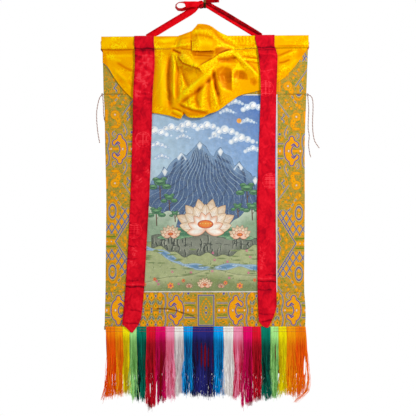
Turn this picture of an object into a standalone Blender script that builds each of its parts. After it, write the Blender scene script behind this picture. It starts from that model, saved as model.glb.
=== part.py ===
"""A thangka scroll painting and the wall hook that carries it, as closed solids.

Blender's metres, +Z up. The wall is the plane Y = 0 and everything hangs in front of it, so the
front is seen by looking along +Y with +X to the right. The origin is on the hook's flat back.
Sizes and places are in millimetres from there: across is +X, down is -Z and forward is -Y.
"""

import math
import random
from collections import namedtuple

import bmesh
import bpy
import numpy as np
from mathutils import Matrix, Vector

MM = 0.001
GAP = 0.4  # between cloths that lie on each other

# The hook, a bent strip of brass
HOOK_WIDTH = 6.0
HOOK_THICKNESS = 1.6
HOOK_TOP = -26.0
HOOK_BEND_DOWN = 14.2
HOOK_BEND_INSIDE = 5.2
HOOK_LIP_TOP = -6.0

# Cloth: thicknesses, and how far forward of the wall each back face hangs
CLOTH = 1.2
LINING = 1.0
GATHERED = 2.0  # the curtain, measured straight forward, so that its steep folds keep 1 mm
BODY_BACK = 15.4
LINING_BACK = BODY_BACK - GAP - LINING
OVER_BODY = BODY_BACK + CLOTH + GAP

# The top sleeve and the stave in it, which rises a little to the right
SLEEVE_LEFT, SLEEVE_RIGHT = -289.8, 290.6
SLEEVE_TOP = 100.1
SLEEVE_HEIGHT = 34.5
SLEEVE_DEPTH = 10.6
SLEEVE_FORWARD = 16.0
TILT = -0.0072  # down for each unit across
STAVE_HEIGHT, STAVE_DEPTH = 23.6, 7.6
STAVE_BELOW_TOP = 1.6
STAVE_ROUNDING = 3.2
STAVE_INSET = 1.5

# The canvas and the frame of brocade
CANVAS_LEFT, CANVAS_RIGHT = -198.5, 203.3
CANVAS_TOP, CANVAS_BOTTOM = 264.0, 818.5
SEWN = 0.3  # between pieces sewn edge to edge
BROCADE_BOTTOM = 960.0
WAVE = 1.0  # how far the hanging cloth waves

# The bottom rod, held between the brocade and the lining
ROD_RADIUS = 5.5
ROD_DOWN, ROD_FORWARD = 919.0, 9.0
ROD_LEFT, ROD_RIGHT = -282.5, 282.0
POCKET_REACH = 20.0  # how far above and below the rod the lining bends round it
POCKET_DEPTH = 12.2

# The hanging ribbon
RIBBON_WIDTH = 18.0
RIBBON_THICKNESS = 1.0

# The side ties
TIE_DIAMETER = 3.2
TIE_STEP = 7.5
TIE_KNOT_RADIUS = 3.2

# The fringe
FRINGE_LEFT, FRINGE_RIGHT = -278.6, 282.2
FRINGE_TOP = 914.3
HEADING_HEIGHT = 7.0
HEADING_DEPTH = 2.0
STRANDS = 8  # in a bundle
STRAND_SHARE = 0.7  # of the distance from one strand to the next
STRAND_BEND = 0.42  # of its fall, down to its middle station
STRAND_TAPER = 0.9  # from each of its stations to the next
BUNDLE_GAP = 0.6

Edges = namedtuple("Edges", "down left right")
MOUNT_EDGES = (
    Edges(130, -286.4, 289.4),
    Edges(264, -283.4, 284.4),
    Edges(282, -281.1, 284.0),
    Edges(400, -279.3, 279.6),
    Edges(560, -275.6, 280.2),
    Edges(810, -278.0, 278.2),
    Edges(868, -279.6, 282.8),
    Edges(914, -280.6, 281.6),
    Edges(960, -280.0, 281.0),
    Edges(1046, -276.0, 277.0),
)

# The red bands: their edges, and how far forward their backs are. They lie over the curtain and,
# at their tips, over the fringe's heading.
Band = namedtuple("Band", "down left right forward")
LEFT_BAND = (
    Band(110, -197.3, -142.2, 21.7),
    Band(136, -198.2, -142.6, 21.9),
    Band(142, -198.6, -143.0, 22.9),
    Band(170, -199.2, -143.6, 22.6),
    Band(240, -200.2, -145.2, 22.6),
    Band(318, -201.2, -147.2, 22.6),
    Band(336, -201.4, -147.6, 20.2),
    Band(356, -201.9, -148.2, 17.3),
    Band(460, -205.0, -151.6, 17.1),
    Band(560, -208.3, -155.7, 17.3),
    Band(690, -215.0, -163.2, 17.1),
    Band(700, -215.6, -163.6, 18.3),
    Band(712, -216.4, -164.4, 17.1),
    Band(800, -221.6, -168.8, 17.2),
    Band(808, -222.0, -169.6, 18.4),
    Band(818, -223.0, -170.2, 17.1),
    Band(870, -227.6, -175.2, 17.6),
    Band(893, -229.8, -178.4, 19.2),
    Band(907, -231.2, -184.4, 19.8),
    Band(920, -217.5, -193.6, 19.9),
    Band(931, -206.0, -202.0, 19.9),
)
RIGHT_BAND = (
    Band(110, 140.6, 195.2, 21.7),
    Band(129, 145.0, 194.4, 21.9),
    Band(138, 148.2, 198.4, 23.6),
    Band(157, 150.4, 203.6, 22.9),
    Band(200, 154.8, 202.4, 22.6),
    Band(236, 156.2, 201.2, 22.6),
    Band(256, 156.4, 200.4, 22.0),
    Band(274, 156.2, 200.0, 19.0),
    Band(292, 155.8, 199.6, 17.3),
    Band(420, 151.0, 197.1, 17.1),
    Band(560, 145.6, 197.7, 17.3),
    Band(776, 147.2, 200.0, 17.1),
    Band(786, 147.4, 200.3, 18.4),
    Band(796, 147.5, 200.5, 17.2),
    Band(812, 147.6, 200.7, 18.3),
    Band(824, 147.8, 201.0, 17.1),
    Band(857, 148.8, 201.6, 17.4),
    Band(884, 149.8, 194.0, 18.6),
    Band(900, 151.4, 186.4, 19.6),
    Band(911, 160.0, 181.0, 19.9),
    Band(917, 171.0, 177.6, 19.9),
)

# The curtain's outline. Outside the middle its top is sewn under the sleeve, so top is None there.
Hem = namedtuple("Hem", "across top bottom")
CURTAIN_HEM = (
    Hem(-286, None, 176),
    Hem(-276, None, 182),
    Hem(-266, None, 196),
    Hem(-257, None, 212),
    Hem(-238, None, 240),
    Hem(-218, None, 262),
    Hem(-199, None, 279),
    Hem(-172, None, 300),
    Hem(-146, None, 317),
    Hem(-124, None, 320),
    Hem(-102, None, 324),
    Hem(-88, None, 328),
    Hem(-76, 101, 332),
    Hem(-66, 98.5, 334),
    Hem(-59, 96, 317),
    Hem(-48, 92, 329),
    Hem(-37, 88, 331),
    Hem(-27, 77, 331),
    Hem(-19, 66, 331),
    Hem(-5, 67, 330),
    Hem(10, 69.5, 320),
    Hem(22, 76, 317),
    Hem(34, 86, 313),
    Hem(52, 97, 301),
    Hem(66, 101, 290),
    Hem(80, None, 280),
    Hem(93, None, 270),
    Hem(110, None, 264),
    Hem(125, None, 261),
    Hem(156, None, 253),
    Hem(180, None, 243),
    Hem(204, None, 232),
    Hem(222, None, 218),
    Hem(240, None, 200),
    Hem(254, None, 184),
    Hem(266, None, 168),
    Hem(277, None, 152),
    Hem(286, None, 140),
)
CURTAIN_COLUMNS = 60
CURTAIN_ROWS = 18
CURTAIN_MIDDLE = -4.0
CURTAIN_HALF = 146.0  # half of the width over which the gathered middle stands forward
CURTAIN_PRESSED = 3.0  # most that the curtain stands forward under a band
SLEEVE_CLEARANCE = 5.3

# How far the gathered middle stands forward of the flat curtain, down its middle line
Bulge = namedtuple("Bulge", "down forward")
CURTAIN_BULGE = (
    Bulge(64, -1.0),
    Bulge(84, 4.0),
    Bulge(98, 8.0),
    Bulge(118, 12.0),
    Bulge(140, 15.0),
    Bulge(175, 17.0),
    Bulge(220, 17.0),
    Bulge(270, 14.0),
    Bulge(305, 10.0),
    Bulge(336, 5.0),
)

# Folds of the curtain, which fade out at the ends of their lines. A ridge, or a groove where its
# height is negative, falls off alike on both sides. A lap falls off slowly above its line and fast
# below it, where one layer of cloth hangs over the next.
Fold = namedtuple("Fold", "kind height width line")
LAP_EDGE = 10.0
FADE = 0.25  # of a fold's length, at each end
CURTAIN_FOLDS = (
    Fold("lap", 13.0, 34.0, ((-88, 146), (-70, 168), (-38, 188), (-14, 194), (8, 184), (42, 152), (78, 141))),
    Fold("lap", 9.0, 30.0, ((30, 186), (0, 236), (-28, 264), (-76, 289))),
    Fold("lap", 5.0, 12.0, ((-76, 300), (-40, 312), (-4, 316), (30, 306))),
    Fold("ridge", 5.0, 10.0, ((-122, 150), (-120, 306))),
    Fold("ridge", -8.0, 7.0, ((-99, 160), (-99, 312))),
    Fold("ridge", 7.0, 6.0, ((-87, 172), (-86, 292))),
    Fold("ridge", -5.0, 6.0, ((-74, 182), (-60, 240))),
    Fold("ridge", 6.0, 9.0, ((12, 236), (-22, 302))),
    Fold("ridge", -7.0, 7.0, ((24, 200), (33, 268))),
    Fold("ridge", 6.0, 9.0, ((36, 215), (50, 292))),
    Fold("ridge", -7.0, 11.0, ((54, 186), (64, 232))),
    Fold("ridge", 5.0, 6.0, ((76, 190), (76, 250))),
    Fold("ridge", -5.0, 11.0, ((94, 200), (96, 226))),
    Fold("ridge", 8.0, 8.0, ((72, 150), (111, 180), (154, 224))),
    Fold("ridge", 3.0, 5.0, ((92, 146), (150, 149))),
    Fold("ridge", 4.0, 10.0, ((-26, 96), (36, 98))),
    Fold("ridge", -4.0, 6.0, ((-38, 90), (-38, 158))),
    Fold("ridge", -5.0, 7.0, ((-34, 152), (26, 152))),
    Fold("ridge", 2.0, 6.0, ((-260, 156), (-205, 172))),
    Fold("ridge", 2.0, 6.0, ((-252, 200), (-206, 232))),
    Fold("ridge", 2.2, 6.0, ((212, 156), (268, 146))),
    Fold("ridge", 2.0, 6.0, ((208, 190), (250, 160))),
)

# The bow, by the middle of the ribbon: turn is how far its face turns away from the front
Station = namedtuple("Station", "across down forward turn width")
LEFT_ARM = (
    Station(-154.6, 104.4, 9.9, 0, RIBBON_WIDTH),
    Station(-120, 82.2, 9.2, 0, RIBBON_WIDTH),
    Station(-80, 56.4, 8.4, 0, RIBBON_WIDTH),
    Station(-44, 33.4, 7.6, 0, RIBBON_WIDTH),
    Station(-31, 24.8, 7.1, 0, 16.0),
    Station(-18.9, 16.4, 6.9, 0, 9.0),
)
RIGHT_ARM = (
    Station(149.8, 102.4, 9.9, 0, RIBBON_WIDTH),
    Station(110, 76.6, 9.2, 0, RIBBON_WIDTH),
    Station(70, 50.6, 8.4, 0, RIBBON_WIDTH),
    Station(34, 27.2, 7.6, 0, RIBBON_WIDTH),
    Station(14, 14.6, 7.1, 0, RIBBON_WIDTH),
    Station(5, 10.4, 6.9, 0, 17.6),
    Station(-3.0, 10.0, 6.8, 0, 17.6),
)
BOW_LOOP = (
    Station(-18.1, 7.6, 10.2, 0, 9.0),
    Station(-26, 8.6, 11.0, 0, 13.0),
    Station(-40, 9.0, 11.6, 12, 14.0),
    Station(-52, 7.0, 11.6, 40, 12.0),
    Station(-61, 4.6, 10.6, 62, 13.0),
    Station(-70, 5.2, 9.6, 70, 14.0),
    Station(-77, 10.6, 9.2, 72, 14.0),
    Station(-78, 18.0, 9.0, 72, 14.0),
    Station(-72, 24.6, 8.8, 70, 14.0),
    Station(-63, 25.4, 8.4, 62, 13.0),
    Station(-53, 21.6, 7.2, 40, 12.0),
    Station(-40, 17.0, 5.4, 10, 13.0),
    Station(-27, 13.4, 4.4, 0, 13.0),
    Station(-18.3, 12.4, 4.2, 0, 9.0),
)
BOW_TAIL = (
    Station(-3.0, 3.0, 9.3, 0, 10.0),
    Station(5, 1.0, 9.3, 0, 13.0),
    Station(17, -1.6, 9.8, 6, 16.0),
    Station(30, -3.0, 10.4, 10, 17.0),
    Station(40, -3.4, 10.8, 8, 17.0),
)
KNOT_MIDDLE = (-10.6, 10.8, 7.6)
KNOT_RADII = (7.0, 12.0, 6.2)

# The side ties, from the knot at the canvas's upper corner to the free end
TIE_KNOTS = {"knot_left": (-287.2, 264.3, 16.0), "knot_right": (288.0, 264.6, 16.0)}
Way = namedtuple("Way", "across down forward")
TIES = {
    "tie_left_outer": (
        Way(-289.3, 267.0, 16.1),
        Way(-294.4, 274, 16.8),
        Way(-299, 290, 17.4),
        Way(-302.6, 314, 17.6),
        Way(-302.4, 340, 17.2),
        Way(-300.2, 365, 16.8),
        Way(-297.2, 385, 17.0),
        Way(-294.3, 400, 17.4),
    ),
    "tie_left_inner": (
        Way(-286.1, 267.7, 16.1),
        Way(-285.0, 280, 16.8),
        Way(-284.0, 296, 16.6),
        Way(-283.6, 314, 15.6),
        Way(-282.0, 332, 12.6),
        Way(-278.0, 346, 11.0),
    ),
    "tie_right_outer": (
        Way(291.1, 266.0, 16.1),
        Way(295.8, 268.2, 16.7),
        Way(300.6, 275.0, 17.4),
        Way(303, 290, 17.8),
        Way(302.8, 314, 17.6),
        Way(301.8, 340, 17.2),
        Way(303, 370, 16.8),
        Way(308, 395, 17.2),
        Way(320.4, 414.6, 17.8),
    ),
    "tie_right_inner": (
        Way(288.4, 268.0, 16.1),
        Way(289.6, 284, 16.8),
        Way(291, 306, 17.2),
        Way(290, 331, 17.0),
        Way(289.6, 360, 16.8),
        Way(292.4, 380, 17.0),
        Way(290.6, 404, 17.2),
        Way(293.6, 428, 17.0),
        Way(297, 440, 16.8),
    ),
}

# The fringe's bundles from left to right: colour, right edge of the heading, and lowest tips
Bundle = namedtuple("Bundle", "colour right tips")
BUNDLES = (
    Bundle("orange", -250.6, 1104),
    Bundle("amber", -230.4, 1100),
    Bundle("yellow", -211.1, 1096),
    Bundle("light_green", -190.7, 1106),
    Bundle("teal", -164.1, 1112),
    Bundle("crimson", -137.2, 1124),
    Bundle("magenta", -110.3, 1118),
    Bundle("pink", -84.6, 1106),
    Bundle("white", -59.9, 1102),
    Bundle("sky_blue", -33.9, 1102),
    Bundle("navy", 24.1, 1108),
    Bundle("sky_blue", 51.8, 1104),
    Bundle("white", 79.8, 1110),
    Bundle("pink", 106.4, 1112),
    Bundle("magenta", 131.9, 1124),
    Bundle("crimson", 157.4, 1112),
    Bundle("teal", 182.6, 1106),
    Bundle("light_green", 206.1, 1108),
    Bundle("yellow", 227.6, 1096),
    Bundle("amber", 253.4, 1098),
    Bundle("orange", FRINGE_RIGHT, 1112),
)

# Colour, roughness and metallic of each finish
Finish = namedtuple("Finish", "red green blue roughness metallic")
FINISHES = {
    "yellow_silk": Finish(0.90, 0.48, 0.0, 0.42, 0.0),
    "red_damask": Finish(0.66, 0.0, 0.02, 0.5, 0.0),
    "red_satin": Finish(0.76, 0.0, 0.01, 0.4, 0.0),
    "red_lining": Finish(0.62, 0.01, 0.02, 0.8, 0.0),
    "brocade": Finish(0.45, 0.34, 0.09, 0.6, 0.0),
    "painted_canvas": Finish(0.32, 0.42, 0.42, 0.8, 0.0),
    "wood": Finish(0.55, 0.40, 0.24, 0.6, 0.0),
    "brass": Finish(0.62, 0.42, 0.16, 0.35, 1.0),
    "twisted_cord": Finish(0.36, 0.20, 0.16, 0.8, 0.0),
    "thread_orange": Finish(0.90, 0.14, 0.0, 0.6, 0.0),
    "thread_amber": Finish(0.93, 0.38, 0.0, 0.6, 0.0),
    "thread_yellow": Finish(0.80, 0.75, 0.0, 0.6, 0.0),
    "thread_light_green": Finish(0.28, 0.68, 0.20, 0.6, 0.0),
    "thread_teal": Finish(0.0, 0.14, 0.10, 0.6, 0.0),
    "thread_crimson": Finish(0.52, 0.01, 0.02, 0.6, 0.0),
    "thread_magenta": Finish(0.55, 0.0, 0.14, 0.6, 0.0),
    "thread_pink": Finish(0.80, 0.22, 0.40, 0.6, 0.0),
    "thread_white": Finish(0.80, 0.77, 0.74, 0.6, 0.0),
    "thread_sky_blue": Finish(0.0, 0.20, 0.60, 0.6, 0.0),
    "thread_navy": Finish(0.01, 0.02, 0.10, 0.6, 0.0),
}


def start():
    """An empty scene with one collection, named for the object."""
    for obj in list(bpy.data.objects):
        bpy.data.objects.remove(obj)
    home = bpy.data.collections.new("thangka")
    bpy.context.scene.collection.children.link(home)
    return home


def finish(name):
    """The material of a finish, made once."""
    material = bpy.data.materials.get(name)
    if material:
        return material
    look = FINISHES[name]
    material = bpy.data.materials.new(name)
    material.use_nodes = True
    shader = material.node_tree.nodes["Principled BSDF"]
    shader.inputs["Base Color"].default_value = (look.red, look.green, look.blue, 1)
    shader.inputs["Roughness"].default_value = look.roughness
    shader.inputs["Metallic"].default_value = look.metallic
    return material


def spot(across, down, forward):
    """A place on the object, in metres."""
    return Vector((across, -forward, -down)) * MM


def draw_on(bm, faces, move):
    """Draws a region of faces on by a move, with walls behind it. Returns the region's new faces."""
    edges = {edge for face in faces for edge in face.edges}
    grown = bmesh.ops.extrude_face_region(bm, geom=[*faces, *edges])["geom"]
    moved = [item for item in grown if isinstance(item, bmesh.types.BMVert)]
    bmesh.ops.translate(bm, verts=moved, vec=move)
    return [item for item in grown if isinstance(item, bmesh.types.BMFace)]


def face_outwards(bm):
    """Points all the faces of a closed body out."""
    bmesh.ops.recalc_face_normals(bm, faces=bm.faces)
    if bm.calc_volume(signed=True) < 0:
        bmesh.ops.reverse_faces(bm, faces=bm.faces)


def add(home, name, bm, material):
    """An object from a finished bmesh."""
    mesh = bpy.data.meshes.new(name)
    bm.to_mesh(mesh)
    bm.free()
    mesh.materials.append(finish(material))
    obj = bpy.data.objects.new(name, mesh)
    home.objects.link(obj)
    return obj


def read(rows, name, down):
    """A column of a table at some distance down, straight between its rows."""
    return float(np.interp(down, [row.down for row in rows], [getattr(row, name) for row in rows]))


def ease(low, high, value):
    """0 below low, 1 above high, and smooth between."""
    share = min(max((value - low) / (high - low), 0.0), 1.0)
    return share * share * (3 - 2 * share)


def sleeve_bottom(across):
    return SLEEVE_TOP + SLEEVE_HEIGHT + TILT * across


def wave(across, down):
    """How far the hanging cloth stands forward of a flat sheet. It is flat at the sleeve and rod."""
    free = ease(150, 230, down) * (1 - ease(820, 890, down))
    long_wave = math.sin(across / 66.0 + 0.6) * math.sin(down / 92.0)
    cross_wave = 0.6 * math.sin(across / 41.0 - down / 130.0)
    return WAVE * free * (long_wave + cross_wave)


def laid_grid(columns, rows, place):
    """A grid whose points lie where place() says, for shares of its width and of its fall."""
    bm = bmesh.new()
    bmesh.ops.create_grid(bm, x_segments=columns, y_segments=rows, size=0.5)
    for vert in bm.verts:
        vert.co = spot(*place(vert.co.x + 0.5, 0.5 - vert.co.y))
    return bm


def sheet(home, name, columns, rows, place, thickness, material):
    """A cloth whose back face is a laid grid, with its thickness forward of it."""
    obj = add(home, name, laid_grid(columns, rows, place), material)
    obj.data.shade_smooth()
    thick = obj.modifiers.new("thickness", "SOLIDIFY")
    thick.thickness = thickness * MM
    thick.offset = 1
    thick.use_even_offset = True
    return obj


def hook(home):
    """The brass strip: its section is drawn down the wall, round the bend and up the lip."""
    bm = bmesh.new()
    bmesh.ops.create_grid(bm, x_segments=1, y_segments=1, size=0.5)
    for vert in bm.verts:
        vert.co = spot(vert.co.x * HOOK_WIDTH, HOOK_TOP, (0.5 - vert.co.y) * HOOK_THICKNESS)
    end = draw_on(bm, bm.faces[:], spot(0, HOOK_BEND_DOWN - HOOK_TOP, 0))
    middle = spot(0, HOOK_BEND_DOWN, HOOK_THICKNESS + HOOK_BEND_INSIDE)
    rim = list({edge for face in end for edge in face.edges})
    bent = bmesh.ops.spin(bm, geom=end + rim, cent=middle, axis=(1, 0, 0), angle=-math.pi, steps=8)
    end = [item for item in bent["geom_last"] if isinstance(item, bmesh.types.BMFace)]
    draw_on(bm, end, spot(0, HOOK_LIP_TOP - HOOK_BEND_DOWN, 0))
    face_outwards(bm)
    add(home, "wall_hook", bm, "brass")


def ribbon(home, name, stations):
    """A strip of ribbon along its stations, its face turned as each one says."""
    places = [spot(row.across, row.down, row.forward) for row in stations]
    front = Vector((0, -1, 0))
    halves = []
    for index, row in enumerate(stations):
        before = places[max(index - 1, 0)]
        after = places[min(index + 1, len(places) - 1)]
        along = (after - before).normalized()
        side = along.cross(front).normalized()
        side.rotate(Matrix.Rotation(math.radians(row.turn), 3, along))
        halves.append(side * row.width * MM / 2)
    bm = bmesh.new()
    bmesh.ops.create_grid(bm, x_segments=len(stations) - 1, y_segments=2, size=0.5)
    for vert in bm.verts:
        index = round((vert.co.x + 0.5) * (len(stations) - 1))
        vert.co = places[index] + halves[index] * vert.co.y * 2
    obj = add(home, name, bm, "red_satin")
    obj.data.shade_smooth()
    thick = obj.modifiers.new("thickness", "SOLIDIFY")
    thick.thickness = RIBBON_THICKNESS * MM
    thick.offset = 0
    thick.use_even_offset = True


def bow_knot(home):
    """The knot: a lump with two wraps of ribbon pressed into it."""
    bm = bmesh.new()
    bmesh.ops.create_uvsphere(bm, u_segments=14, v_segments=10, radius=1)
    across, down, forward = KNOT_MIDDLE
    for vert in bm.verts:
        groove = 1 - 0.09 * math.cos(vert.co.z * 7.0 + vert.co.x) ** 4
        blunt = Vector([math.copysign(abs(c) ** 0.8, c) for c in vert.co]) * groove
        vert.co = spot(
            across + blunt.x * KNOT_RADII[0],
            down - blunt.z * KNOT_RADII[1],
            forward - blunt.y * KNOT_RADII[2],
        )
    face_outwards(bm)
    add(home, "bow_knot", bm, "red_satin").data.shade_smooth()


def stave(home):
    """The flat wooden stave in the top sleeve."""
    length = SLEEVE_RIGHT - SLEEVE_LEFT - 2 * STAVE_INSET
    middle = (SLEEVE_LEFT + SLEEVE_RIGHT) / 2
    bm = bmesh.new()
    bmesh.ops.create_cube(bm, size=1)
    for vert in bm.verts:
        across = middle + vert.co.x * length
        down = SLEEVE_TOP + STAVE_BELOW_TOP + (0.5 - vert.co.z) * STAVE_HEIGHT + TILT * across
        vert.co = spot(across, down, SLEEVE_FORWARD - vert.co.y * STAVE_DEPTH)
    long_edges = [e for e in bm.edges if abs(e.verts[0].co.x - e.verts[1].co.x) > length * MM / 2]
    bmesh.ops.bevel(
        bm,
        geom=long_edges,
        offset=STAVE_ROUNDING * MM,
        segments=3,
        profile=0.5,
        affect="EDGES",
        material=-1,
    )
    add(home, "top_stave", bm, "wood")


# The sleeve's wall: distances below its top, and half depths, of its outside and inside
Wall = namedtuple("Wall", "outer outer_half inner inner_half")
SLEEVE_WALL = (
    Wall(0.0, 0.0, 1.0, 0.0),
    Wall(1.2, 3.6, 1.9, 2.9),
    Wall(4.6, 5.2, 4.8, 4.2),
    Wall(15.0, SLEEVE_DEPTH / 2, 15.0, 4.3),
    Wall(26.0, 5.0, 25.8, 4.0),
    Wall(30.0, 3.2, 29.2, 2.2),
    Wall(SLEEVE_HEIGHT, 1.2, SLEEVE_HEIGHT - 1.0, 0.3),
)
SLEEVE_STEPS = 16


def sleeve(home):
    """The silk pocket round the stave: a ring of cloth drawn along it, open at both ends."""
    front = [(row, 1) for row in SLEEVE_WALL]
    back = [(row, -1) for row in reversed(SLEEVE_WALL[1:])]
    section = front + back
    bm = bmesh.new()
    rings = []
    for _ in ("outer", "inner"):
        rings.append(bmesh.ops.create_circle(bm, segments=len(section), radius=1)["verts"])
    for ring, (below, half) in zip(rings, (("outer", "outer_half"), ("inner", "inner_half"))):
        for vert, (row, side) in zip(ring, section):
            down = SLEEVE_TOP + getattr(row, below) + TILT * SLEEVE_LEFT
            vert.co = spot(SLEEVE_LEFT, down, SLEEVE_FORWARD + side * getattr(row, half))
    bmesh.ops.bridge_loops(bm, edges=bm.edges[:])
    step = (SLEEVE_RIGHT - SLEEVE_LEFT) / SLEEVE_STEPS
    end = bm.faces[:]
    for _ in range(SLEEVE_STEPS):
        end = draw_on(bm, end, spot(step, step * TILT, 0))
    face_outwards(bm)
    add(home, "top_sleeve", bm, "yellow_silk").data.set_sharp_from_angle(angle=math.radians(50))


def panel(home, name, columns, rows, sides, ends, material):
    """A flat hung piece of the body, between two sides and two ends, each a function."""
    left, right = sides
    top, bottom = ends

    def place(share, fall):
        middle = (left(top(0)) + right(top(0))) / 2
        down = top(middle) + fall * (bottom(middle) - top(middle))
        across = left(down) + share * (right(down) - left(down))
        down = top(across) + fall * (bottom(across) - top(across))
        return across, down, BODY_BACK + wave(across, down)

    return sheet(home, name, columns, rows, place, CLOTH, material)


def brocade_and_canvas(home):
    """The canvas and the four panels sewn round it."""

    def mount_left(down):
        return read(MOUNT_EDGES, "left", down)

    def mount_right(down):
        return read(MOUNT_EDGES, "right", down)

    def at(value):
        return lambda _: value

    def under_sleeve(across):
        return sleeve_bottom(across) + 2 * SEWN

    whole = (mount_left, mount_right)
    beside = (at(CANVAS_TOP), at(CANVAS_BOTTOM))
    canvas = (at(CANVAS_LEFT), at(CANVAS_RIGHT))
    left = (mount_left, at(CANVAS_LEFT - SEWN))
    right = (at(CANVAS_RIGHT + SEWN), mount_right)
    above = (under_sleeve, at(CANVAS_TOP - SEWN))
    below = (at(CANVAS_BOTTOM + SEWN), at(BROCADE_BOTTOM))
    panel(home, "painting", 12, 14, canvas, beside, "painted_canvas")
    panel(home, "brocade_left", 3, 14, left, beside, "brocade")
    panel(home, "brocade_right", 3, 14, right, beside, "brocade")
    panel(home, "brocade_top", 16, 4, whole, above, "brocade")
    panel(home, "brocade_bottom", 16, 6, whole, below, "brocade")


LINING_INSET = 3.0
LINING_TOP_BACK = SLEEVE_FORWARD - SLEEVE_DEPTH / 2 - SEWN - LINING
# Where the lining's rows lie, closest where it bends round the rod
LINING_FALLS = (114, 128, 137, 150, 165, 200, 260, 340, 430, 530, 640, 750, 840, 885)
POCKET_FALLS = tuple(ROD_DOWN + off for off in (-20, -15, -10, -6, -3, 0, 3, 6, 10, 15, 20))
TAIL_FALLS = (950, 980, 1010, 1046)
LINING_STOPS = LINING_FALLS + POCKET_FALLS + TAIL_FALLS


def lining_edge(name, down):
    """The lining's side, inside the brocade's but 2 mm past the sleeve's ends at the top."""
    inwards = LINING_INSET if name == "left" else -LINING_INSET
    inside = read(MOUNT_EDGES, name, down) + inwards
    past = SLEEVE_LEFT - 2.0 if name == "left" else SLEEVE_RIGHT + 1.4
    return past + (inside - past) * ease(137, 150, down)


def lining(home):
    """The red cloth on the back, bent round the bottom rod, with its tail behind the fringe."""

    def place(share, fall):
        down = LINING_STOPS[round(fall * (len(LINING_STOPS) - 1))]
        left, right = lining_edge("left", down), lining_edge("right", down)
        across = left + share * (right - left)
        back = LINING_TOP_BACK + (LINING_BACK - LINING_TOP_BACK) * ease(137, 165, down)
        reach = min(abs(down - ROD_DOWN) / POCKET_REACH, 1.0)
        back -= POCKET_DEPTH * 0.5 * (1 + math.cos(math.pi * reach))
        return across, down + TILT * across * (1 - ease(150, 400, down)), back + wave(across, down)

    sheet(home, "lining", 14, len(LINING_STOPS) - 1, place, LINING, "red_lining")


def bottom_rod(home):
    """The round dowel at the bottom."""
    length = ROD_RIGHT - ROD_LEFT
    bm = bmesh.new()
    bmesh.ops.create_cone(
        bm,
        segments=16,
        radius1=ROD_RADIUS * MM,
        radius2=ROD_RADIUS * MM,
        depth=length * MM,
        cap_ends=True,
    )
    bmesh.ops.rotate(bm, verts=bm.verts, cent=(0, 0, 0), matrix=Matrix.Rotation(math.pi / 2, 3, "Y"))
    middle = spot((ROD_LEFT + ROD_RIGHT) / 2, ROD_DOWN, ROD_FORWARD)
    bmesh.ops.translate(bm, verts=bm.verts, vec=middle)
    add(home, "bottom_rod", bm, "wood").data.shade_smooth()


def band(home, name, rows):
    """A red band. Its top turns over the sleeve, and the rest follows the table."""
    turn = SLEEVE_DEPTH / 2 + GAP
    over = [math.radians(angle) for angle in (90, 60, 30, 0)]

    def place(share, fall):
        index = round(fall * (len(over) + len(rows) - 1))
        row = rows[max(index - len(over), 0)]
        across = row.left + share * (row.right - row.left)
        if index >= len(over):
            lift = wave(across, row.down)
            return across, row.down, row.forward + lift
        top = SLEEVE_TOP + TILT * across + SLEEVE_DEPTH / 2 - turn * math.sin(over[index])
        return across, top, SLEEVE_FORWARD + turn * math.cos(over[index])

    sheet(home, name, 3, len(over) + len(rows) - 1, place, CLOTH, "red_damask")


def fold_height(fold, across, down):
    """How far one fold lifts the curtain at a place."""
    here = Vector((across, down))
    corners = [Vector(corner) for corner in fold.line]
    nearest, side, reached, length = None, 1.0, 0.0, 0.0
    for start, end in zip(corners, corners[1:]):
        along = end - start
        share = min(max((here - start).dot(along) / along.length_squared, 0.0), 1.0)
        off = here - (start + along * share)
        if nearest is None or off.length < nearest:
            nearest, reached = off.length, length + share * along.length
            side = math.copysign(1.0, along.cross(off))
        length += along.length
    height = fold.height * ease(0, FADE, reached / length) * ease(0, FADE, 1 - reached / length)
    below = math.copysign(1.0, fold.line[-1][0] - fold.line[0][0])
    if fold.kind == "ridge":
        return height * math.exp(-((nearest / fold.width) ** 2))
    if side == below:
        return height * math.exp(-((nearest / LAP_EDGE) ** 2))
    return height * math.exp(-nearest / fold.width)


def under_band(across):
    """1 where the curtain lies under a band, and 0 away from them."""
    share = 0.0
    for left, right in ((-201.5, -142.5), (146.5, 203.5)):
        share = max(share, ease(left - 16, left - 3, across) * (1 - ease(right + 3, right + 20, across)))
    return share


def curtain_forward(across, down):
    """How far the curtain's back stands forward of the flat body."""
    middle = min(abs(across - CURTAIN_MIDDLE) / CURTAIN_HALF, 1.0)
    stand = read(CURTAIN_BULGE, "forward", down) * math.cos(math.pi / 2 * middle) ** 2
    folds = sum(fold_height(fold, across, down) for fold in CURTAIN_FOLDS)
    free = ease(64, 100, down) if abs(across) < 100 else ease(0, 22, down - sleeve_bottom(across))
    stand = stand + folds * free
    pressed = min(stand, CURTAIN_PRESSED)
    stand += (pressed - stand) * under_band(across)
    if down > sleeve_bottom(across):
        stand = max(stand, 0.2)
    on_sleeve = ease(88, 97, down) * (1 - ease(2, 18, down - sleeve_bottom(across)))
    if abs(across) < 100:
        stand = max(stand, SLEEVE_CLEARANCE * on_sleeve)
    return stand


def curtain(home):
    """The gathered silk cover, from its hem table and its folds."""
    across_rows = [row.across for row in CURTAIN_HEM]
    tops = [sleeve_bottom(row.across) + 2 * SEWN if row.top is None else row.top for row in CURTAIN_HEM]
    bottoms = [row.bottom for row in CURTAIN_HEM]

    def place(share, fall):
        column = share * (len(CURTAIN_HEM) - 1)
        across = float(np.interp(column, range(len(CURTAIN_HEM)), across_rows))
        top = float(np.interp(across, across_rows, tops))
        down = top + fall * (float(np.interp(across, across_rows, bottoms)) - top)
        return across, down, OVER_BODY + curtain_forward(across, down) + wave(across, down)

    bm = laid_grid(CURTAIN_COLUMNS, CURTAIN_ROWS, place)
    draw_on(bm, bm.faces[:], spot(0, 0, GATHERED))
    face_outwards(bm)
    add(home, "curtain", bm, "yellow_silk").data.shade_smooth()


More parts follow.
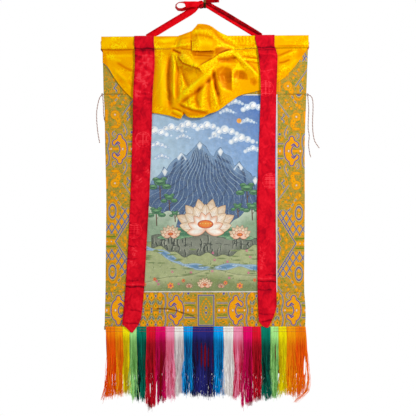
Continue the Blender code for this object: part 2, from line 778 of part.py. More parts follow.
def tie_knots(home):
    """The small knots from which the side ties hang, just outside the brocade's edge."""
    for name, middle in TIE_KNOTS.items():
        bm = bmesh.new()
        bmesh.ops.create_uvsphere(bm, u_segments=14, v_segments=10, radius=TIE_KNOT_RADIUS * MM)
        bmesh.ops.translate(bm, verts=bm.verts, vec=spot(*middle))
        add(home, name, bm, "twisted_cord").data.shade_smooth()


def smooth_route(ways):
    """Points every few millimetres on a smooth curve through the route's own points."""
    points = [spot(*way) for way in ways]
    padded = [points[0] * 2 - points[1], *points, points[-1] * 2 - points[-2]]
    route = [points[0]]
    for before, start, end, after in zip(padded, padded[1:], padded[2:], padded[3:]):
        steps = max(1, round((end - start).length / (TIE_STEP * MM)))
        for index in range(1, steps + 1):
            t = index / steps
            route.append(
                0.5
                * (
                    2 * start
                    + (end - before) * t
                    + (2 * before - 5 * start + 4 * end - after) * t * t
                    + (3 * start - before - 3 * end + after) * t * t * t
                )
            )
    return route


def side_ties(home):
    """The thin cords that hang from the canvas's upper corners."""
    for name, ways in TIES.items():
        route = smooth_route(ways)
        curve = bpy.data.curves.new(name, "CURVE")
        curve.dimensions = "3D"
        curve.bevel_depth = TIE_DIAMETER / 2 * MM
        curve.bevel_resolution = 2
        curve.use_fill_caps = True
        spline = curve.splines.new("POLY")
        spline.points.add(len(route) - 1)
        for point, place in zip(spline.points, route):
            point.co = (*place, 1)
        curve.materials.append(finish("twisted_cord"))
        home.objects.link(bpy.data.objects.new(name, curve))


def sway(across, share):
    """How far the strands hang aside at a share of their fall: in at the left, out at the right."""
    edge = (across - FRINGE_LEFT) / (FRINGE_RIGHT - FRINGE_LEFT)
    outer = 6.0 * math.exp(-edge * 9) + 5.0 * math.exp((edge - 1) * 9)
    return outer * math.sin(math.pi * share * 0.86) + 1.6 * share * math.sin(across / 23.0)


def strand_steps(across, tips, dice):
    """A strand's two moves down, aside and forward, clear of the brocade behind it."""
    length = tips - FRINGE_TOP - HEADING_HEIGHT - dice.uniform(2, 20)
    stray = dice.uniform(-0.35, 0.35)
    lean = dice.uniform(0.2, 2.0)
    bend = sway(across, STRAND_BEND)
    upper = (length * STRAND_BEND, bend + stray, lean)
    lower = (length * (1 - STRAND_BEND), sway(across, 1.0) - bend - stray, -lean / 2)
    return upper, lower


def bundle(home, name, left, row, dice):
    """One colour of the fringe: strands drawn down from the lower faces of a sewn heading."""
    cells = 2 * STRANDS - 1
    width = row.right - left
    bm = bmesh.new()
    bmesh.ops.create_grid(bm, x_segments=cells, y_segments=1, size=0.5)
    bottom = FRINGE_TOP + HEADING_HEIGHT
    for vert in bm.verts:
        strand, side = divmod(round((vert.co.x + 0.5) * cells), 2)
        across = (strand + side * STRAND_SHARE) / (STRANDS - 1 + STRAND_SHARE)
        vert.co = spot(left + across * width, bottom, OVER_BODY + (0.5 - vert.co.y) * HEADING_DEPTH)
    strips = sorted(bm.faces, key=lambda face: face.calc_center_median().x)
    draw_on(bm, bm.faces[:], spot(0, -HEADING_HEIGHT, 0))
    for face in strips[::2]:
        end = face
        across = face.calc_center_median().x / MM
        for fall, aside, ahead in strand_steps(across, row.tips, dice):
            end = bmesh.ops.extrude_discrete_faces(bm, faces=[end])["faces"][0]
            middle = end.calc_center_median()
            for vert in end.verts:
                vert.co = middle + (vert.co - middle) * STRAND_TAPER + spot(aside, fall, ahead)
    face_outwards(bm)
    flat = [edge for edge in bm.edges if edge.calc_face_angle(1.0) < 0.001]
    bmesh.ops.dissolve_edges(bm, edges=flat, use_verts=False)
    add(home, name, bm, "thread_" + row.colour)


def fringe(home):
    """All the bundles, each parted a little from the next."""
    dice = random.Random(7)
    left = FRINGE_LEFT
    for index, row in enumerate(BUNDLES, start=1):
        bundle(home, f"fringe_{index:02d}", left, row, dice)
        left = row.right + BUNDLE_GAP


def main():
    home = start()
    hook(home)
    ribbon(home, "ribbon_left", LEFT_ARM)
    ribbon(home, "ribbon_right", RIGHT_ARM)
    ribbon(home, "bow_loop", BOW_LOOP)
    ribbon(home, "bow_tail", BOW_TAIL)
    bow_knot(home)
    stave(home)
    sleeve(home)
    brocade_and_canvas(home)
    lining(home)
    bottom_rod(home)
    band(home, "band_left", LEFT_BAND)
    band(home, "band_right", RIGHT_BAND)
    curtain(home)
    tie_knots(home)
    side_ties(home)
    fringe(home)


main()
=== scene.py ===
# %% [markdown]
# # A thangka scroll painting and its wall hook
#
# A thangka is a painting on cloth. Brocade is sewn round it, a flat stave carries its top and a
# round rod weighs down its foot, and a ribbon hangs it up. This one has two red silk bands, a
# yellow silk curtain that is gathered up off the painting, and a fringe of embroidery silk.
#
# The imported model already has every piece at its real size. This lesson dresses it: it lays fine
# cloth over each solid, and makes the weaves, the paint, the folds and the threads.

# %% Load the solids
import math
import random
from collections import namedtuple

import bmesh
import bpy
import numpy as np
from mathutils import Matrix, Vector


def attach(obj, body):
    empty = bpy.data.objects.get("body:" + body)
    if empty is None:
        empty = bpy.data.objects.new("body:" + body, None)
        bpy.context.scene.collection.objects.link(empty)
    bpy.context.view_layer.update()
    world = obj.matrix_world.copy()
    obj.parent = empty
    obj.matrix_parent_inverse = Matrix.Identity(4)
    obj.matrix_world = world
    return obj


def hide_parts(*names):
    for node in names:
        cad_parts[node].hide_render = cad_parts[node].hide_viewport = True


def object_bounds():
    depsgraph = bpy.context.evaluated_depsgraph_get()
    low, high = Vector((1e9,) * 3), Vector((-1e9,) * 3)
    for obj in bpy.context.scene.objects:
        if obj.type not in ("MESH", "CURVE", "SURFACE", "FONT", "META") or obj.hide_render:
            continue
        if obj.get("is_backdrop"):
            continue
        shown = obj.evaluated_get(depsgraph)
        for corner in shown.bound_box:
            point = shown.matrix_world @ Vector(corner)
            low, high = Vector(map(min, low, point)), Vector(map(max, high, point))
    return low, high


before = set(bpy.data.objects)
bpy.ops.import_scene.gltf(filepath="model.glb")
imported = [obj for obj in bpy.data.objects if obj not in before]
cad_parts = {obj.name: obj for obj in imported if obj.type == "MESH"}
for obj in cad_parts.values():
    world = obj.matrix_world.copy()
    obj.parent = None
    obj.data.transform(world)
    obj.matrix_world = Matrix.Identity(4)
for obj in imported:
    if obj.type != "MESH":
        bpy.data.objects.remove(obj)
cad_low, cad_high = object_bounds()
MM = 0.001


def spot(across, down, forward):
    """A place in metres, from millimetres to the right, down and out from the hook's flat back."""
    return Vector((across, -forward, -down)) * MM


print("loaded", len(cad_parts), "solids")

# %% [markdown]
# ## Camera
#
# The photograph looks at the scroll from straight in front. A long lens from 2.6 m keeps the sides
# parallel, as there. The lens is worked out from the width of cloth that fills the picture.

# %% Place the camera
PICTURE_MIDDLE = spot(9.0, 582.4, 17.0)
PICTURE_WIDTH = 1.165
CAMERA_AWAY = 2.6

camera = bpy.data.objects.new("camera", bpy.data.cameras.new("camera"))
bpy.context.scene.collection.objects.link(camera)
bpy.context.scene.camera = camera
camera.location = PICTURE_MIDDLE + Vector((0, -CAMERA_AWAY, 0))
camera.rotation_euler = (math.radians(90), 0, 0)
camera.data.lens = camera.data.sensor_width * CAMERA_AWAY / PICTURE_WIDTH
bpy.context.scene.view_settings.view_transform = "Standard"
print("lens", round(camera.data.lens, 1), "mm")

# %% [markdown]
# ## Light
#
# Silk shows its folds only where light comes from one side. A broad lamp stands high on the right,
# so that each fold is bright on one flank, and a weak one on the left opens the shade. The bright
# room does the rest: the world lights everything evenly, and is plain white behind the scroll.

# %% Light the scroll
Lamp = namedtuple("Lamp", "name place size watts")
LAMPS = (
    Lamp("key_lamp", Vector((1.75, -1.5, 0.75)), 0.6, 50.0),
    Lamp("fill_lamp", Vector((-1.9, -2.2, -0.3)), 1.4, 11.0),
)
ROOM_LIGHT = 0.4
for lamp in LAMPS:
    light = bpy.data.objects.new(lamp.name, bpy.data.lights.new(lamp.name, "AREA"))
    light.data.energy = lamp.watts
    light.data.size = lamp.size
    light.location = lamp.place
    light.rotation_euler = (PICTURE_MIDDLE - lamp.place).to_track_quat("-Z", "Y").to_euler()
    bpy.context.scene.collection.objects.link(light)

world = bpy.data.worlds.new("bright_room")
bpy.context.scene.world = world
world.use_nodes = True
room = world.node_tree
seen = room.nodes.new("ShaderNodeLightPath")
seen_or_lit = room.nodes.new("ShaderNodeMapRange")
seen_or_lit.inputs["To Min"].default_value = ROOM_LIGHT
seen_or_lit.inputs["To Max"].default_value = 1.0
room.links.new(seen.outputs["Is Camera Ray"], seen_or_lit.inputs["Value"])
room.links.new(seen_or_lit.outputs[0], room.nodes["Background"].inputs["Strength"])
room.nodes["Background"].inputs["Color"].default_value = (1, 1, 1, 1)
print("lamps", len(LAMPS))

# %% [markdown]
# ## Colours and nodes
#
# Colours are picked as sRGB codes, but Blender's shaders work in linear light, so one function
# turns them. Another adds a node with its settings and links, because every material is a small
# chain of nodes. Plain numbers go straight on the shader's own sockets.

# %% Helpers for nodes
def linear(code):
    """An sRGB code such as #D8001E as linear red, green, blue and alpha."""
    channels = [int(code[i : i + 2], 16) / 255 for i in (1, 3, 5)]
    return (*[c / 12.92 if c < 0.04045 else ((c + 0.055) / 1.055) ** 2.4 for c in channels], 1.0)


def add(material, kind, inputs=None, **settings):
    """Adds a node. Each input is a value or another node's output, by its name or number."""
    tree = material.node_tree
    node = tree.nodes.new(kind)
    for name, value in settings.items():
        setattr(node, name, value)
    for name, value in (inputs or {}).items():
        if isinstance(value, bpy.types.NodeSocket):
            tree.links.new(value, node.inputs[name])
        else:
            node.inputs[name].default_value = value
    return node


def start_material(name, values):
    """A material with its shader, and the shader's plain values."""
    material = bpy.data.materials.new(name)
    material.use_nodes = True
    shader = material.node_tree.nodes["Principled BSDF"]
    for socket, value in values.items():
        shader.inputs[socket].default_value = value
    return material, shader


def connect(material, output, shader, socket="Base Color"):
    material.node_tree.links.new(output, shader.inputs[socket])


print("helpers for nodes ready")

# %% Helpers for colours and patterns
def blend(material, share, first, second):
    """The colour between two others."""
    sockets = {0: share, 6: first, 7: second}
    return add(material, "ShaderNodeMix", sockets, data_type="RGBA").outputs[2]


def ramp(material, value, low, high, to_low=0.0, to_high=1.0):
    """A value stretched from one range to another, and held at its ends."""
    sockets = {"Value": value, "From Min": low, "From Max": high, "To Min": to_low, "To Max": to_high}
    return add(material, "ShaderNodeMapRange", sockets).outputs[0]


def scale_of(material, value, steps):
    """A colour that changes with a value through steps, each a value and a colour."""
    colour = linear(steps[0][1])
    for (low, _), (high, code) in zip(steps, steps[1:]):
        colour = blend(material, ramp(material, value, low, high), colour, linear(code))
    return colour


def kept(material, name):
    """The number that each point of the mesh keeps under a name."""
    return add(material, "ShaderNodeAttribute", attribute_name=name).outputs["Fac"]


def sum_of(material, first, second):
    return add(material, "ShaderNodeMath", {0: first, 1: second}, operation="ADD").outputs[0]


def product_of(material, first, second):
    return add(material, "ShaderNodeMath", {0: first, 1: second}, operation="MULTIPLY").outputs[0]


def mottle(material, grain, stretch=(1, 1, 1), detail=2.0, distortion=0.0):
    """Soft noise with spots this many millimetres across."""
    place = add(material, "ShaderNodeTexCoord").outputs["Object"]
    turned = add(material, "ShaderNodeMapping", {"Vector": place, "Scale": stretch}).outputs[0]
    sockets = {"Vector": turned, "Scale": 1 / (grain * MM), "Detail": detail, "Distortion": distortion}
    return add(material, "ShaderNodeTexNoise", sockets).outputs[0]


def weave(material, shader, spacing, depth):
    """Raises warp and weft threads, this many millimetres apart, as bump.

    Real ones lie 0.1 to 0.5 mm apart, which is too fine to show here, so each cloth's are drawn
    coarser, in the order of their real fineness.
    """
    place = add(material, "ShaderNodeTexCoord").outputs["Object"]
    scale = 2 * math.pi / (20 * spacing * MM)  # at scale 1 a wave is 2 pi / 20 m long
    threads = []
    for direction in ("X", "Z"):
        sockets = {"Vector": place, "Scale": scale, "Distortion": 0.6}
        wave = add(material, "ShaderNodeTexWave", sockets, bands_direction=direction)
        threads.append(wave.outputs["Fac"])
    sockets = {"Height": product_of(material, *threads), "Distance": depth * MM, "Strength": 0.6}
    connect(material, add(material, "ShaderNodeBump", sockets).outputs[0], shader, "Normal")


def mottled(name, roughness, grain, first, second):
    """A matt material of two near colours, in spots this many millimetres across."""
    material, shader = start_material(name, {"Roughness": roughness})
    connect(material, blend(material, mottle(material, grain), linear(first), linear(second)), shader)
    return material

# %% [markdown]
# ## The floor
#
# The scroll hangs free in front of a wall that isn't built, so the floor is only a pale sheet well
# below it, out of the camera's sight.

# %% Lay the floor
FLOOR_DOWN = 1320.0
FLOOR_SIDE = 2.4
pale_board = mottled("pale_board", 0.8, 60, "#F2F1EE", "#E9E8E5")
bm = bmesh.new()
bmesh.ops.create_grid(bm, x_segments=4, y_segments=4, size=FLOOR_SIDE / 2)
bmesh.ops.translate(bm, verts=bm.verts, vec=spot(0, FLOOR_DOWN, 700))
floor_mesh = bpy.data.meshes.new("floor")
bm.to_mesh(floor_mesh)
bm.free()
floor_mesh.materials.append(pale_board)
floor = bpy.data.objects.new("floor", floor_mesh)
bpy.context.scene.collection.objects.link(floor)
floor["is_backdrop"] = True
print("floor", FLOOR_SIDE, "m wide")

# %% [markdown]
# ## Cloth from a solid
#
# Each CAD cloth is a closed sheet with few faces. For a finer one, a copy of it, or of its front only,
# has its points merged and its triangles joined back into quads. The Subdivision Surface modifier
# rounds it. Then edges are halved, or the sheet is sliced along planes, until its faces are small
# enough to carry creases and patterns. Slices give even faces on a cage whose own are uneven.

# %% Make fine cloth from a solid
def cage_of(node, front_only=True):
    """The solid's mesh as quads, either whole or only the side that faces the front."""
    bm = bmesh.new()
    bm.from_mesh(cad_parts[node].data)
    bmesh.ops.remove_doubles(bm, verts=bm.verts, dist=0.01 * MM)
    bm.normal_update()
    if front_only:
        others = [face for face in bm.faces if face.normal.y > -0.15]
        bmesh.ops.delete(bm, geom=others, context="FACES")
    bmesh.ops.join_triangles(
        bm,
        faces=bm.faces,
        angle_face_threshold=math.radians(40),
        angle_shape_threshold=math.radians(50),
    )
    return bm


def rounded(bm, levels):
    """The cage after a Subdivision Surface modifier that keeps its sharp rims."""
    crease = bm.edges.layers.float.new("crease_edge")
    corner = bm.verts.layers.float.new("crease_vert")
    for edge in bm.edges:
        if edge.is_boundary or edge.calc_face_angle() > math.radians(60):
            edge[crease] = edge.verts[0][corner] = edge.verts[1][corner] = 1.0
    cage = bpy.data.meshes.new("cage")
    bm.to_mesh(cage)
    bm.free()
    holder = bpy.data.objects.new("cage", cage)
    bpy.context.scene.collection.objects.link(holder)
    surface = holder.modifiers.new("rounded", "SUBSURF")
    surface.levels = surface.render_levels = levels
    surface.boundary_smooth = "PRESERVE_CORNERS"
    fine = bpy.data.meshes.new_from_object(holder.evaluated_get(bpy.context.evaluated_depsgraph_get()))
    bpy.data.objects.remove(holder)
    bm = bmesh.new()
    bm.from_mesh(fine)
    bpy.data.meshes.remove(fine)
    return bm


def refine(bm, longest):
    """Halves edges until none is longer than this many millimetres."""
    too_long = bm.edges[:]
    while too_long:
        too_long = [edge for edge in bm.edges if edge.calc_length() > longest * MM]
        if too_long:
            bmesh.ops.subdivide_edges(bm, edges=too_long, cuts=1, use_grid_fill=True)


def refine_grid(bm, longest):
    """Cuts a grid's edges that run across, then those that run down, each into equal parts."""
    for axis, other in ((0, 2), (2, 0)):
        runs = [edge.verts[1].co - edge.verts[0].co for edge in bm.edges]
        chosen = [edge for edge, run in zip(bm.edges, runs) if abs(run[axis]) > abs(run[other])]
        usual = sorted(edge.calc_length() for edge in chosen)[len(chosen) * 9 // 10]
        cuts = math.ceil(usual / (longest * MM)) - 1
        if cuts:
            bmesh.ops.subdivide_edges(bm, edges=chosen, cuts=cuts, use_grid_fill=True)


def slice_sheet(bm, step):
    """Slices a sheet along upright planes, then level ones, that lie so many millimetres apart."""
    for axis in (0, 2):
        reach = [vert.co[axis] for vert in bm.verts]
        low, high = min(reach), max(reach)
        count = round((high - low) / (step * MM))
        for number in range(1, count):
            at, toward = Vector(), Vector()
            at[axis], toward[axis] = low + (high - low) * number / count, 1.0
            every = bm.verts[:] + bm.edges[:] + bm.faces[:]
            bmesh.ops.bisect_plane(bm, geom=every, dist=0.02 * MM, plane_co=at, plane_no=toward)


def turn_back_edges(bm, thickness):
    """Turns a sheet's open edges back, so that it has its thickness where it ends."""
    rim = [edge for edge in bm.edges if edge.is_boundary]
    grown = bmesh.ops.extrude_edge_only(bm, edges=rim)["geom"]
    moved = [item for item in grown if isinstance(item, bmesh.types.BMVert)]
    bmesh.ops.translate(bm, verts=moved, vec=(0, thickness * MM, 0))


print("helpers for cloth ready")

# %% Finish a piece, and move its points
def piece(name, bm, material, slot, *nodes):
    """Finishes a piece that hangs with the rest and stands for its solids."""
    mesh = bpy.data.meshes.new(name)
    bm.to_mesh(mesh)
    bm.free()
    mesh.materials.append(material)
    mesh.shade_smooth()
    mesh.set_sharp_from_angle(angle=math.radians(55))
    obj = bpy.data.objects.new(name, mesh)
    bpy.context.scene.collection.objects.link(obj)
    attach(obj, "root")
    if nodes:
        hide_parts(*nodes)
    print(name, len(mesh.loops) - 2 * len(mesh.polygons), "triangles")
    return obj


def points_of(mesh):
    """A mesh's points as rows of x, y and z, in metres."""
    flat = np.empty(len(mesh.vertices) * 3)
    mesh.vertices.foreach_get("co", flat)
    return flat.reshape(-1, 3)


def set_points(mesh, points):
    mesh.vertices.foreach_set("co", points.ravel())
    mesh.update()


def places(mesh):
    """How far across, down and forward each of a mesh's points is, in millimetres."""
    x, y, z = points_of(mesh).T / MM
    return x, -z, -y


def push_forward(mesh, amounts, least=None):
    """Moves points forward by so many millimetres each, and keeps them off what is behind."""
    points = points_of(mesh)
    forward = -points[:, 1] / MM
    moved = forward + np.asarray(amounts)
    if least is not None:
        moved = np.maximum(moved, np.minimum(forward, least))
    points[:, 1] = -moved * MM
    set_points(mesh, points)


def nudge(mesh, across=0.0, down=0.0):
    """Moves points sideways and down by so many millimetres each."""
    points = points_of(mesh)
    points[:, 0] += across * MM
    points[:, 2] -= down * MM
    set_points(mesh, points)


def keep(mesh, name, values):
    """Keeps one number for each of a mesh's points, for its material to read."""
    layer = mesh.attributes.new(name, "FLOAT", "POINT")
    layer.data.foreach_set("value", np.asarray(values, dtype=float))

# %% [markdown]
# ## Drawing with distances
#
# A painted or woven shape stays sharp on a coarse mesh if each point keeps how far it is from the
# shape's outline, less than nothing inside. The material then draws the outline where the distance
# passes zero. Such distances are easy to write for discs, strokes and petals, and the nearest of
# several shapes is simply their least distance. All are in millimetres.

# %% Shapes as distances
def disc(x, y, middle, radius):
    return np.hypot(x - middle[0], y - middle[1]) - radius


def oval(x, y, middle, half_width, half_height):
    out = np.hypot((x - middle[0]) / half_width, (y - middle[1]) / half_height)
    return (out - 1) * min(half_width, half_height)


def box(x, y, middle, half_width, half_height):
    return np.maximum(abs(x - middle[0]) - half_width, abs(y - middle[1]) - half_height)


def along(x, y, points):
    """Distance from a line, the share of its length that is nearest, and the side: over or under."""
    nearest = np.full(x.shape, np.inf)
    reached, side = np.zeros(x.shape), np.zeros(x.shape)
    length = 0.0
    for (x0, y0), (x1, y1) in zip(points, points[1:]):
        run, fall = x1 - x0, y1 - y0
        step = math.hypot(run, fall)
        share = np.clip(((x - x0) * run + (y - y0) * fall) / step**2, 0, 1)
        away = np.hypot(x - x0 - share * run, y - y0 - share * fall)
        closer = away < nearest
        reached = np.where(closer, length + share * step, reached)
        side = np.where(closer, np.sign(fall * (x - x0) - run * (y - y0)), side)
        nearest = np.minimum(away, nearest)
        length += step
    return nearest, reached / length, side


def stroke(x, y, points, width):
    return along(x, y, points)[0] - width / 2


def polygon(x, y, corners):
    """Distance from a closed outline, less than nothing inside it."""
    ring = (*corners, corners[0])
    inside = np.zeros(x.shape, dtype=bool)
    for (x0, y0), (x1, y1) in zip(ring, ring[1:]):
        if y0 != y1:
            crosses = ((y0 > y) != (y1 > y)) & (x < (x1 - x0) * (y - y0) / (y1 - y0) + x0)
            inside ^= crosses
    return along(x, y, ring)[0] * np.where(inside, -1, 1)


def petal(x, y, foot, tip, width):
    """A petal or leaf, where two discs overlap."""
    foot, tip = np.array(foot, float), np.array(tip, float)
    half = np.linalg.norm(tip - foot) / 2
    side = np.array([foot[1] - tip[1], tip[0] - foot[0]]) / (2 * half)
    radius = (half**2 + (width / 2) ** 2) / width
    off = side * (radius - width / 2)
    middle = (foot + tip) / 2
    return np.maximum(disc(x, y, middle + off, radius), disc(x, y, middle - off, radius))


print("lines and shapes ready")

# %% Join, soften and paint shapes
def any_of(shapes):
    return np.minimum.reduce(list(shapes))


def drawn(x, y, shapes):
    """The nearest of several shapes, each listed as its function and what that takes."""
    return any_of(shape(x, y, *sizes) for shape, *sizes in shapes)


def within(shape, limit):
    """A shape, only where it lies inside another."""
    return np.maximum(shape, limit)


def ease(low, high, values):
    """0 below low, 1 above high, and smooth between."""
    share = np.clip((values - low) / (high - low), 0, 1)
    return share * share * (3 - 2 * share)


def rise_and_fall(values, low, high, until, gone):
    """0 below low, 1 from high until the fall begins, and 0 where it is gone."""
    return ease(low, high, values) * (1 - ease(until, gone, values))


def bump(away, width):
    """A rounded rise about a line, in shares of its height."""
    return np.exp(-((away / width) ** 2))


# A shape's fill goes from inner to edge over depth, with a line of some width just inside its rim
Shape = namedtuple("Shape", "field inner edge depth line width")
DRAWN_EDGE = 0.35


def lay_on(material, ground, shapes):
    """Lays shapes over a ground colour, the last on top."""
    colour = ground
    for shape in shapes:
        out = kept(material, shape.field)
        inside = ramp(material, out, DRAWN_EDGE, -DRAWN_EDGE)
        fill = blend(material, ramp(material, out, -shape.depth, 0), linear(shape.inner), linear(shape.edge))
        near_rim = ramp(material, out, -shape.width - DRAWN_EDGE, -shape.width + DRAWN_EDGE)
        colour = blend(material, inside, colour, blend(material, near_rim, fill, linear(shape.line)))
    return colour

# %% [markdown]
# ## The painting
#
# A thangka's canvas is primed with chalk and glue, rubbed smooth, and painted with mineral colours
# in flat areas, then shaded with thin washes and outlined with a brush, so it is matt. The design
# here is a generic one of lotuses, clouds, hills, a meadow and a stream. An image would need a file
# beside the script, so each kind of shape keeps its own distances instead, and the material fills,
# shades and outlines them, from the far hills to the nearest petals.

# %% Sew the canvas
BARE_EDGE = 3.4
PAINT_STEP = 2.1

canvas_bm = rounded(cage_of("painting"), 2)
refine_grid(canvas_bm, PAINT_STEP)
turn_back_edges(canvas_bm, 0.9)

mineral_paint, paint_shader = start_material("mineral_paint_on_canvas", {"Roughness": 0.7})
canvas = piece("painted_canvas", canvas_bm, mineral_paint, "painted_canvas", "painting")
cx, cy, _ = places(canvas.data)

# %% Hills, meadow and stream
PAINTER_SEED = 11
painter = random.Random(PAINTER_SEED)


def draw(name, field):
    """Keeps a shape's distances on the canvas."""
    keep(canvas.data, name, field)


def ridge_line(level, *swells):
    """A hilly horizon: swells are (height, length, shift)."""
    return level - sum(high * np.sin(cx / long + shift) for high, long, shift in swells)


def peaks(x, y, tops, slope):
    """Pointed hills, each from its top's place down."""
    return any_of(np.maximum(abs(x - px) * slope - (y - py), -60) * 0.75 for px, py in tops)


def rays(turn, bend, long, wide, gap):
    """Bent bands that fan out and widen from the great hill's top."""
    middle = abs((turned_round * turn + bend * np.sin(from_top / long)) % 1 - 0.5)
    return middle * from_top / wide - gap


def scattered(count, left, right, top, bottom):
    """Places spread by chance over part of the canvas."""
    return [(painter.uniform(left, right), painter.uniform(top, bottom)) for _ in range(count)]


# The great hill has a steep blue face, cut by strata that run down from its top
CRAG_TOPS = ((-112, 468), (-66, 424), (-14, 394), (44, 412), (96, 452), (142, 492))
crag = peaks(cx + 3 * np.sin(cy / 6), cy + 3 * np.sin(cx / 5), CRAG_TOPS, 1.15)
crag_foot = ridge_line(640, (10, 60, 0.3), (4, 19, 1.0))
draw("crag", np.maximum(crag, cy - crag_foot - 60))
from_top = np.hypot(cx + 5, cy - 370)
turned_round = np.arctan2(cx + 5, cy - 370)
draw("strata", within(rays(13, 0.5, 17, 9, 1.5), crag + 5))
draw("gullies", within(rays(5.5, 0.9, 31, 4, 6), crag + 9))
SNOW_DEPTH = 19
snow_foot = cy - SNOW_DEPTH - 7 * np.sin(cx / 3.1)
draw("snow", any_of(within(abs(cx - px) * 1.25 - (cy - py) + 1, snow_foot - py) for px, py in CRAG_TOPS))

left_hills = ridge_line(560, (16, 42, 1.6), (7, 17, 0.2), (3, 6, 0)) - cy + 0.5 * (cx + 150)
draw("left_hills", within(left_hills, cx + 62 + 0.24 * (cy - 560)))
right_hills = ridge_line(572, (20, 50, -2.9), (6, 15, 0.8), (3, 6, 1)) - cy - 0.4 * (cx - 150)
draw("right_hills", within(right_hills, 70 - cx - 0.2 * (cy - 560)))
draw("meadow", ridge_line(664, (8, 46, 2.0), (5, 19, 0.5)) - cy)
draw("near_bank", ridge_line(772, (14, 64, 1.1), (4, 21, 0.5)) - cy)
STREAM = ((-190, 688), (-120, 706), (-60, 742), (20, 752), (96, 742), (200, 762))
draw("stream", stroke(cx, cy, STREAM, 13) + 3 * np.sin(cx / 13))
RIPPLES = ((-170, 694), (-136, 701), (-96, 720), (-50, 746), (-10, 750), (40, 750), (84, 744), (128, 748))
RIPPLES += ((172, 757),)
RIPPLE = ((-8, 0), (0, -1.5), (8, 0))
draw("ripples", any_of(stroke(cx - rx, cy - ry, RIPPLE, 1.4) for rx, ry in RIPPLES))
print("ground of the painting drawn on", len(cx), "points")

# %% Clouds and trees
# The lobes of a cloud and of a tree's crown, and the curls drawn in a cloud: where and how large
# each is, as shares of the whole one's size
CLOUD_LOBES = ((-1.5, 0.25, 0.42), (-0.9, -0.1, 0.5), (-0.1, -0.35, 0.62), (0.8, -0.1, 0.5), (1.5, 0.2, 0.36))
CLOUD_LOBES += ((2.1, 0.35, 0.2),)
CLOUD_CURLS = ((-0.9, -0.05, 0.26), (-0.1, -0.3, 0.34), (0.8, -0.05, 0.26))
CROWN_LOBES = ((-0.8, 0.15, 0.42), (0.8, 0.1, 0.44), (0, -0.4, 0.55), (-0.45, -0.75, 0.32), (0.5, -0.8, 0.3))


def lobes_of(size, px, py, lobes):
    """The middle and the size of each lobe."""
    return [((px + aside * size, py + down * size), share * size) for aside, down, share in lobes]


CLOUDS = ((-140, 372, 22), (-92, 362, 19), (-46, 354, 20), (8, 356, 19), (58, 370, 21), (104, 392, 20))
CLOUDS += ((136, 420, 15), (-132, 408, 15), (-120, 440, 12), (86, 288, 13), (136, 302, 19), (62, 312, 12))
CLOUDS += ((120, 340, 12), (-60, 384, 12), (30, 384, 11))
lobes, curls = [], []
for px, py, size in CLOUDS:
    lobes += [disc(cx, cy, *lobe) for lobe in lobes_of(size, px, py, CLOUD_LOBES)]
    for middle, radius in lobes_of(size, px, py, CLOUD_CURLS):
        ring = abs(disc(cx, cy, middle, radius)) - 0.9
        curls.append(within(ring, cx - middle[0] - 0.5 * (cy - middle[1]) - 0.2 * size))
clouds = any_of(lobes)
draw("clouds", clouds)
draw("curls", within(any_of(curls), clouds + 1.4))
draw("sun", disc(cx, cy, (96, 338), 7))

TREES = ((-126, 520, 24), (-100, 560, 18), (-136, 600, 20), (118, 536, 24), (132, 586, 19), (92, 584, 15))
TREES += ((-84, 602, 12),)
crowns, trunks, glints = [], [], []
for px, py, size in TREES:
    trunks.append(stroke(cx, cy, ((px, py), (px + 1.5, py + 1.6 * size)), 3.0))
    trunks.append(stroke(cx, cy, ((px, py + 0.8 * size), (px + 0.6 * size, py)), 1.8))
    for (lx, ly), radius in lobes_of(size, px, py, CROWN_LOBES):
        crowns.append(oval(cx, cy, (lx, ly), 1.25 * radius, 0.72 * radius))
        glints.append(oval(cx, cy, (lx, ly - 0.12 * size), 0.8 * radius, 0.25 * radius))
draw("trunks", any_of(trunks))
draw("crowns", any_of(crowns))
draw("glints", any_of(glints))
print("clouds", len(CLOUDS), "trees", len(TREES))

# %% Rocks and flowers
def blossom(x, y, middle, size, petals, turn=0.0):
    """A round flower of separate petals."""
    leaves = []
    for index in range(petals):
        angle = turn + 2 * math.pi * index / petals
        way = np.array((math.cos(angle), math.sin(angle)))
        leaves.append(petal(x, y, middle + 0.2 * size * way, middle + size * way, 0.62 * size))
    return any_of(leaves)


# The ledge is of weathered blocks, with dark clefts between them and pale edges
ledge_top = ridge_line(650, (6, 31, 0.4), (3, 11, 1.0)) + 0.0007 * cx**2
ledge_foot = ridge_line(716, (5, 19, 1.4), (4, 7, 0.4)) - 0.0012 * cx**2
ledge = np.maximum(np.maximum(ledge_top - cy, cy - ledge_foot), abs(cx) - 150)
draw("ledge", ledge)
clefts, pale = [], []
for px, py in scattered(58, -146, 146, 656, 704):
    lean, fall = painter.uniform(-5, 5), painter.uniform(10, 26)
    bent = ((px, py), (px + lean, py + 0.5 * fall), (px + 0.4 * lean, py + fall))
    clefts.append(stroke(cx, cy, bent, painter.uniform(2.0, 3.6)))
    pale.append(stroke(cx, cy, [(ax + 3.4, ay - 1) for ax, ay in bent], 1.8))
for px, py in scattered(20, -140, 140, 656, 690):
    clefts.append(stroke(cx, cy, ((px - 9, py + 2), (px, py), (px + 9, py + 3)), 2.0))
draw("clefts", within(any_of(clefts), ledge + 1.5))
draw("pale_tops", within(any_of(pale), ledge + 2.5))

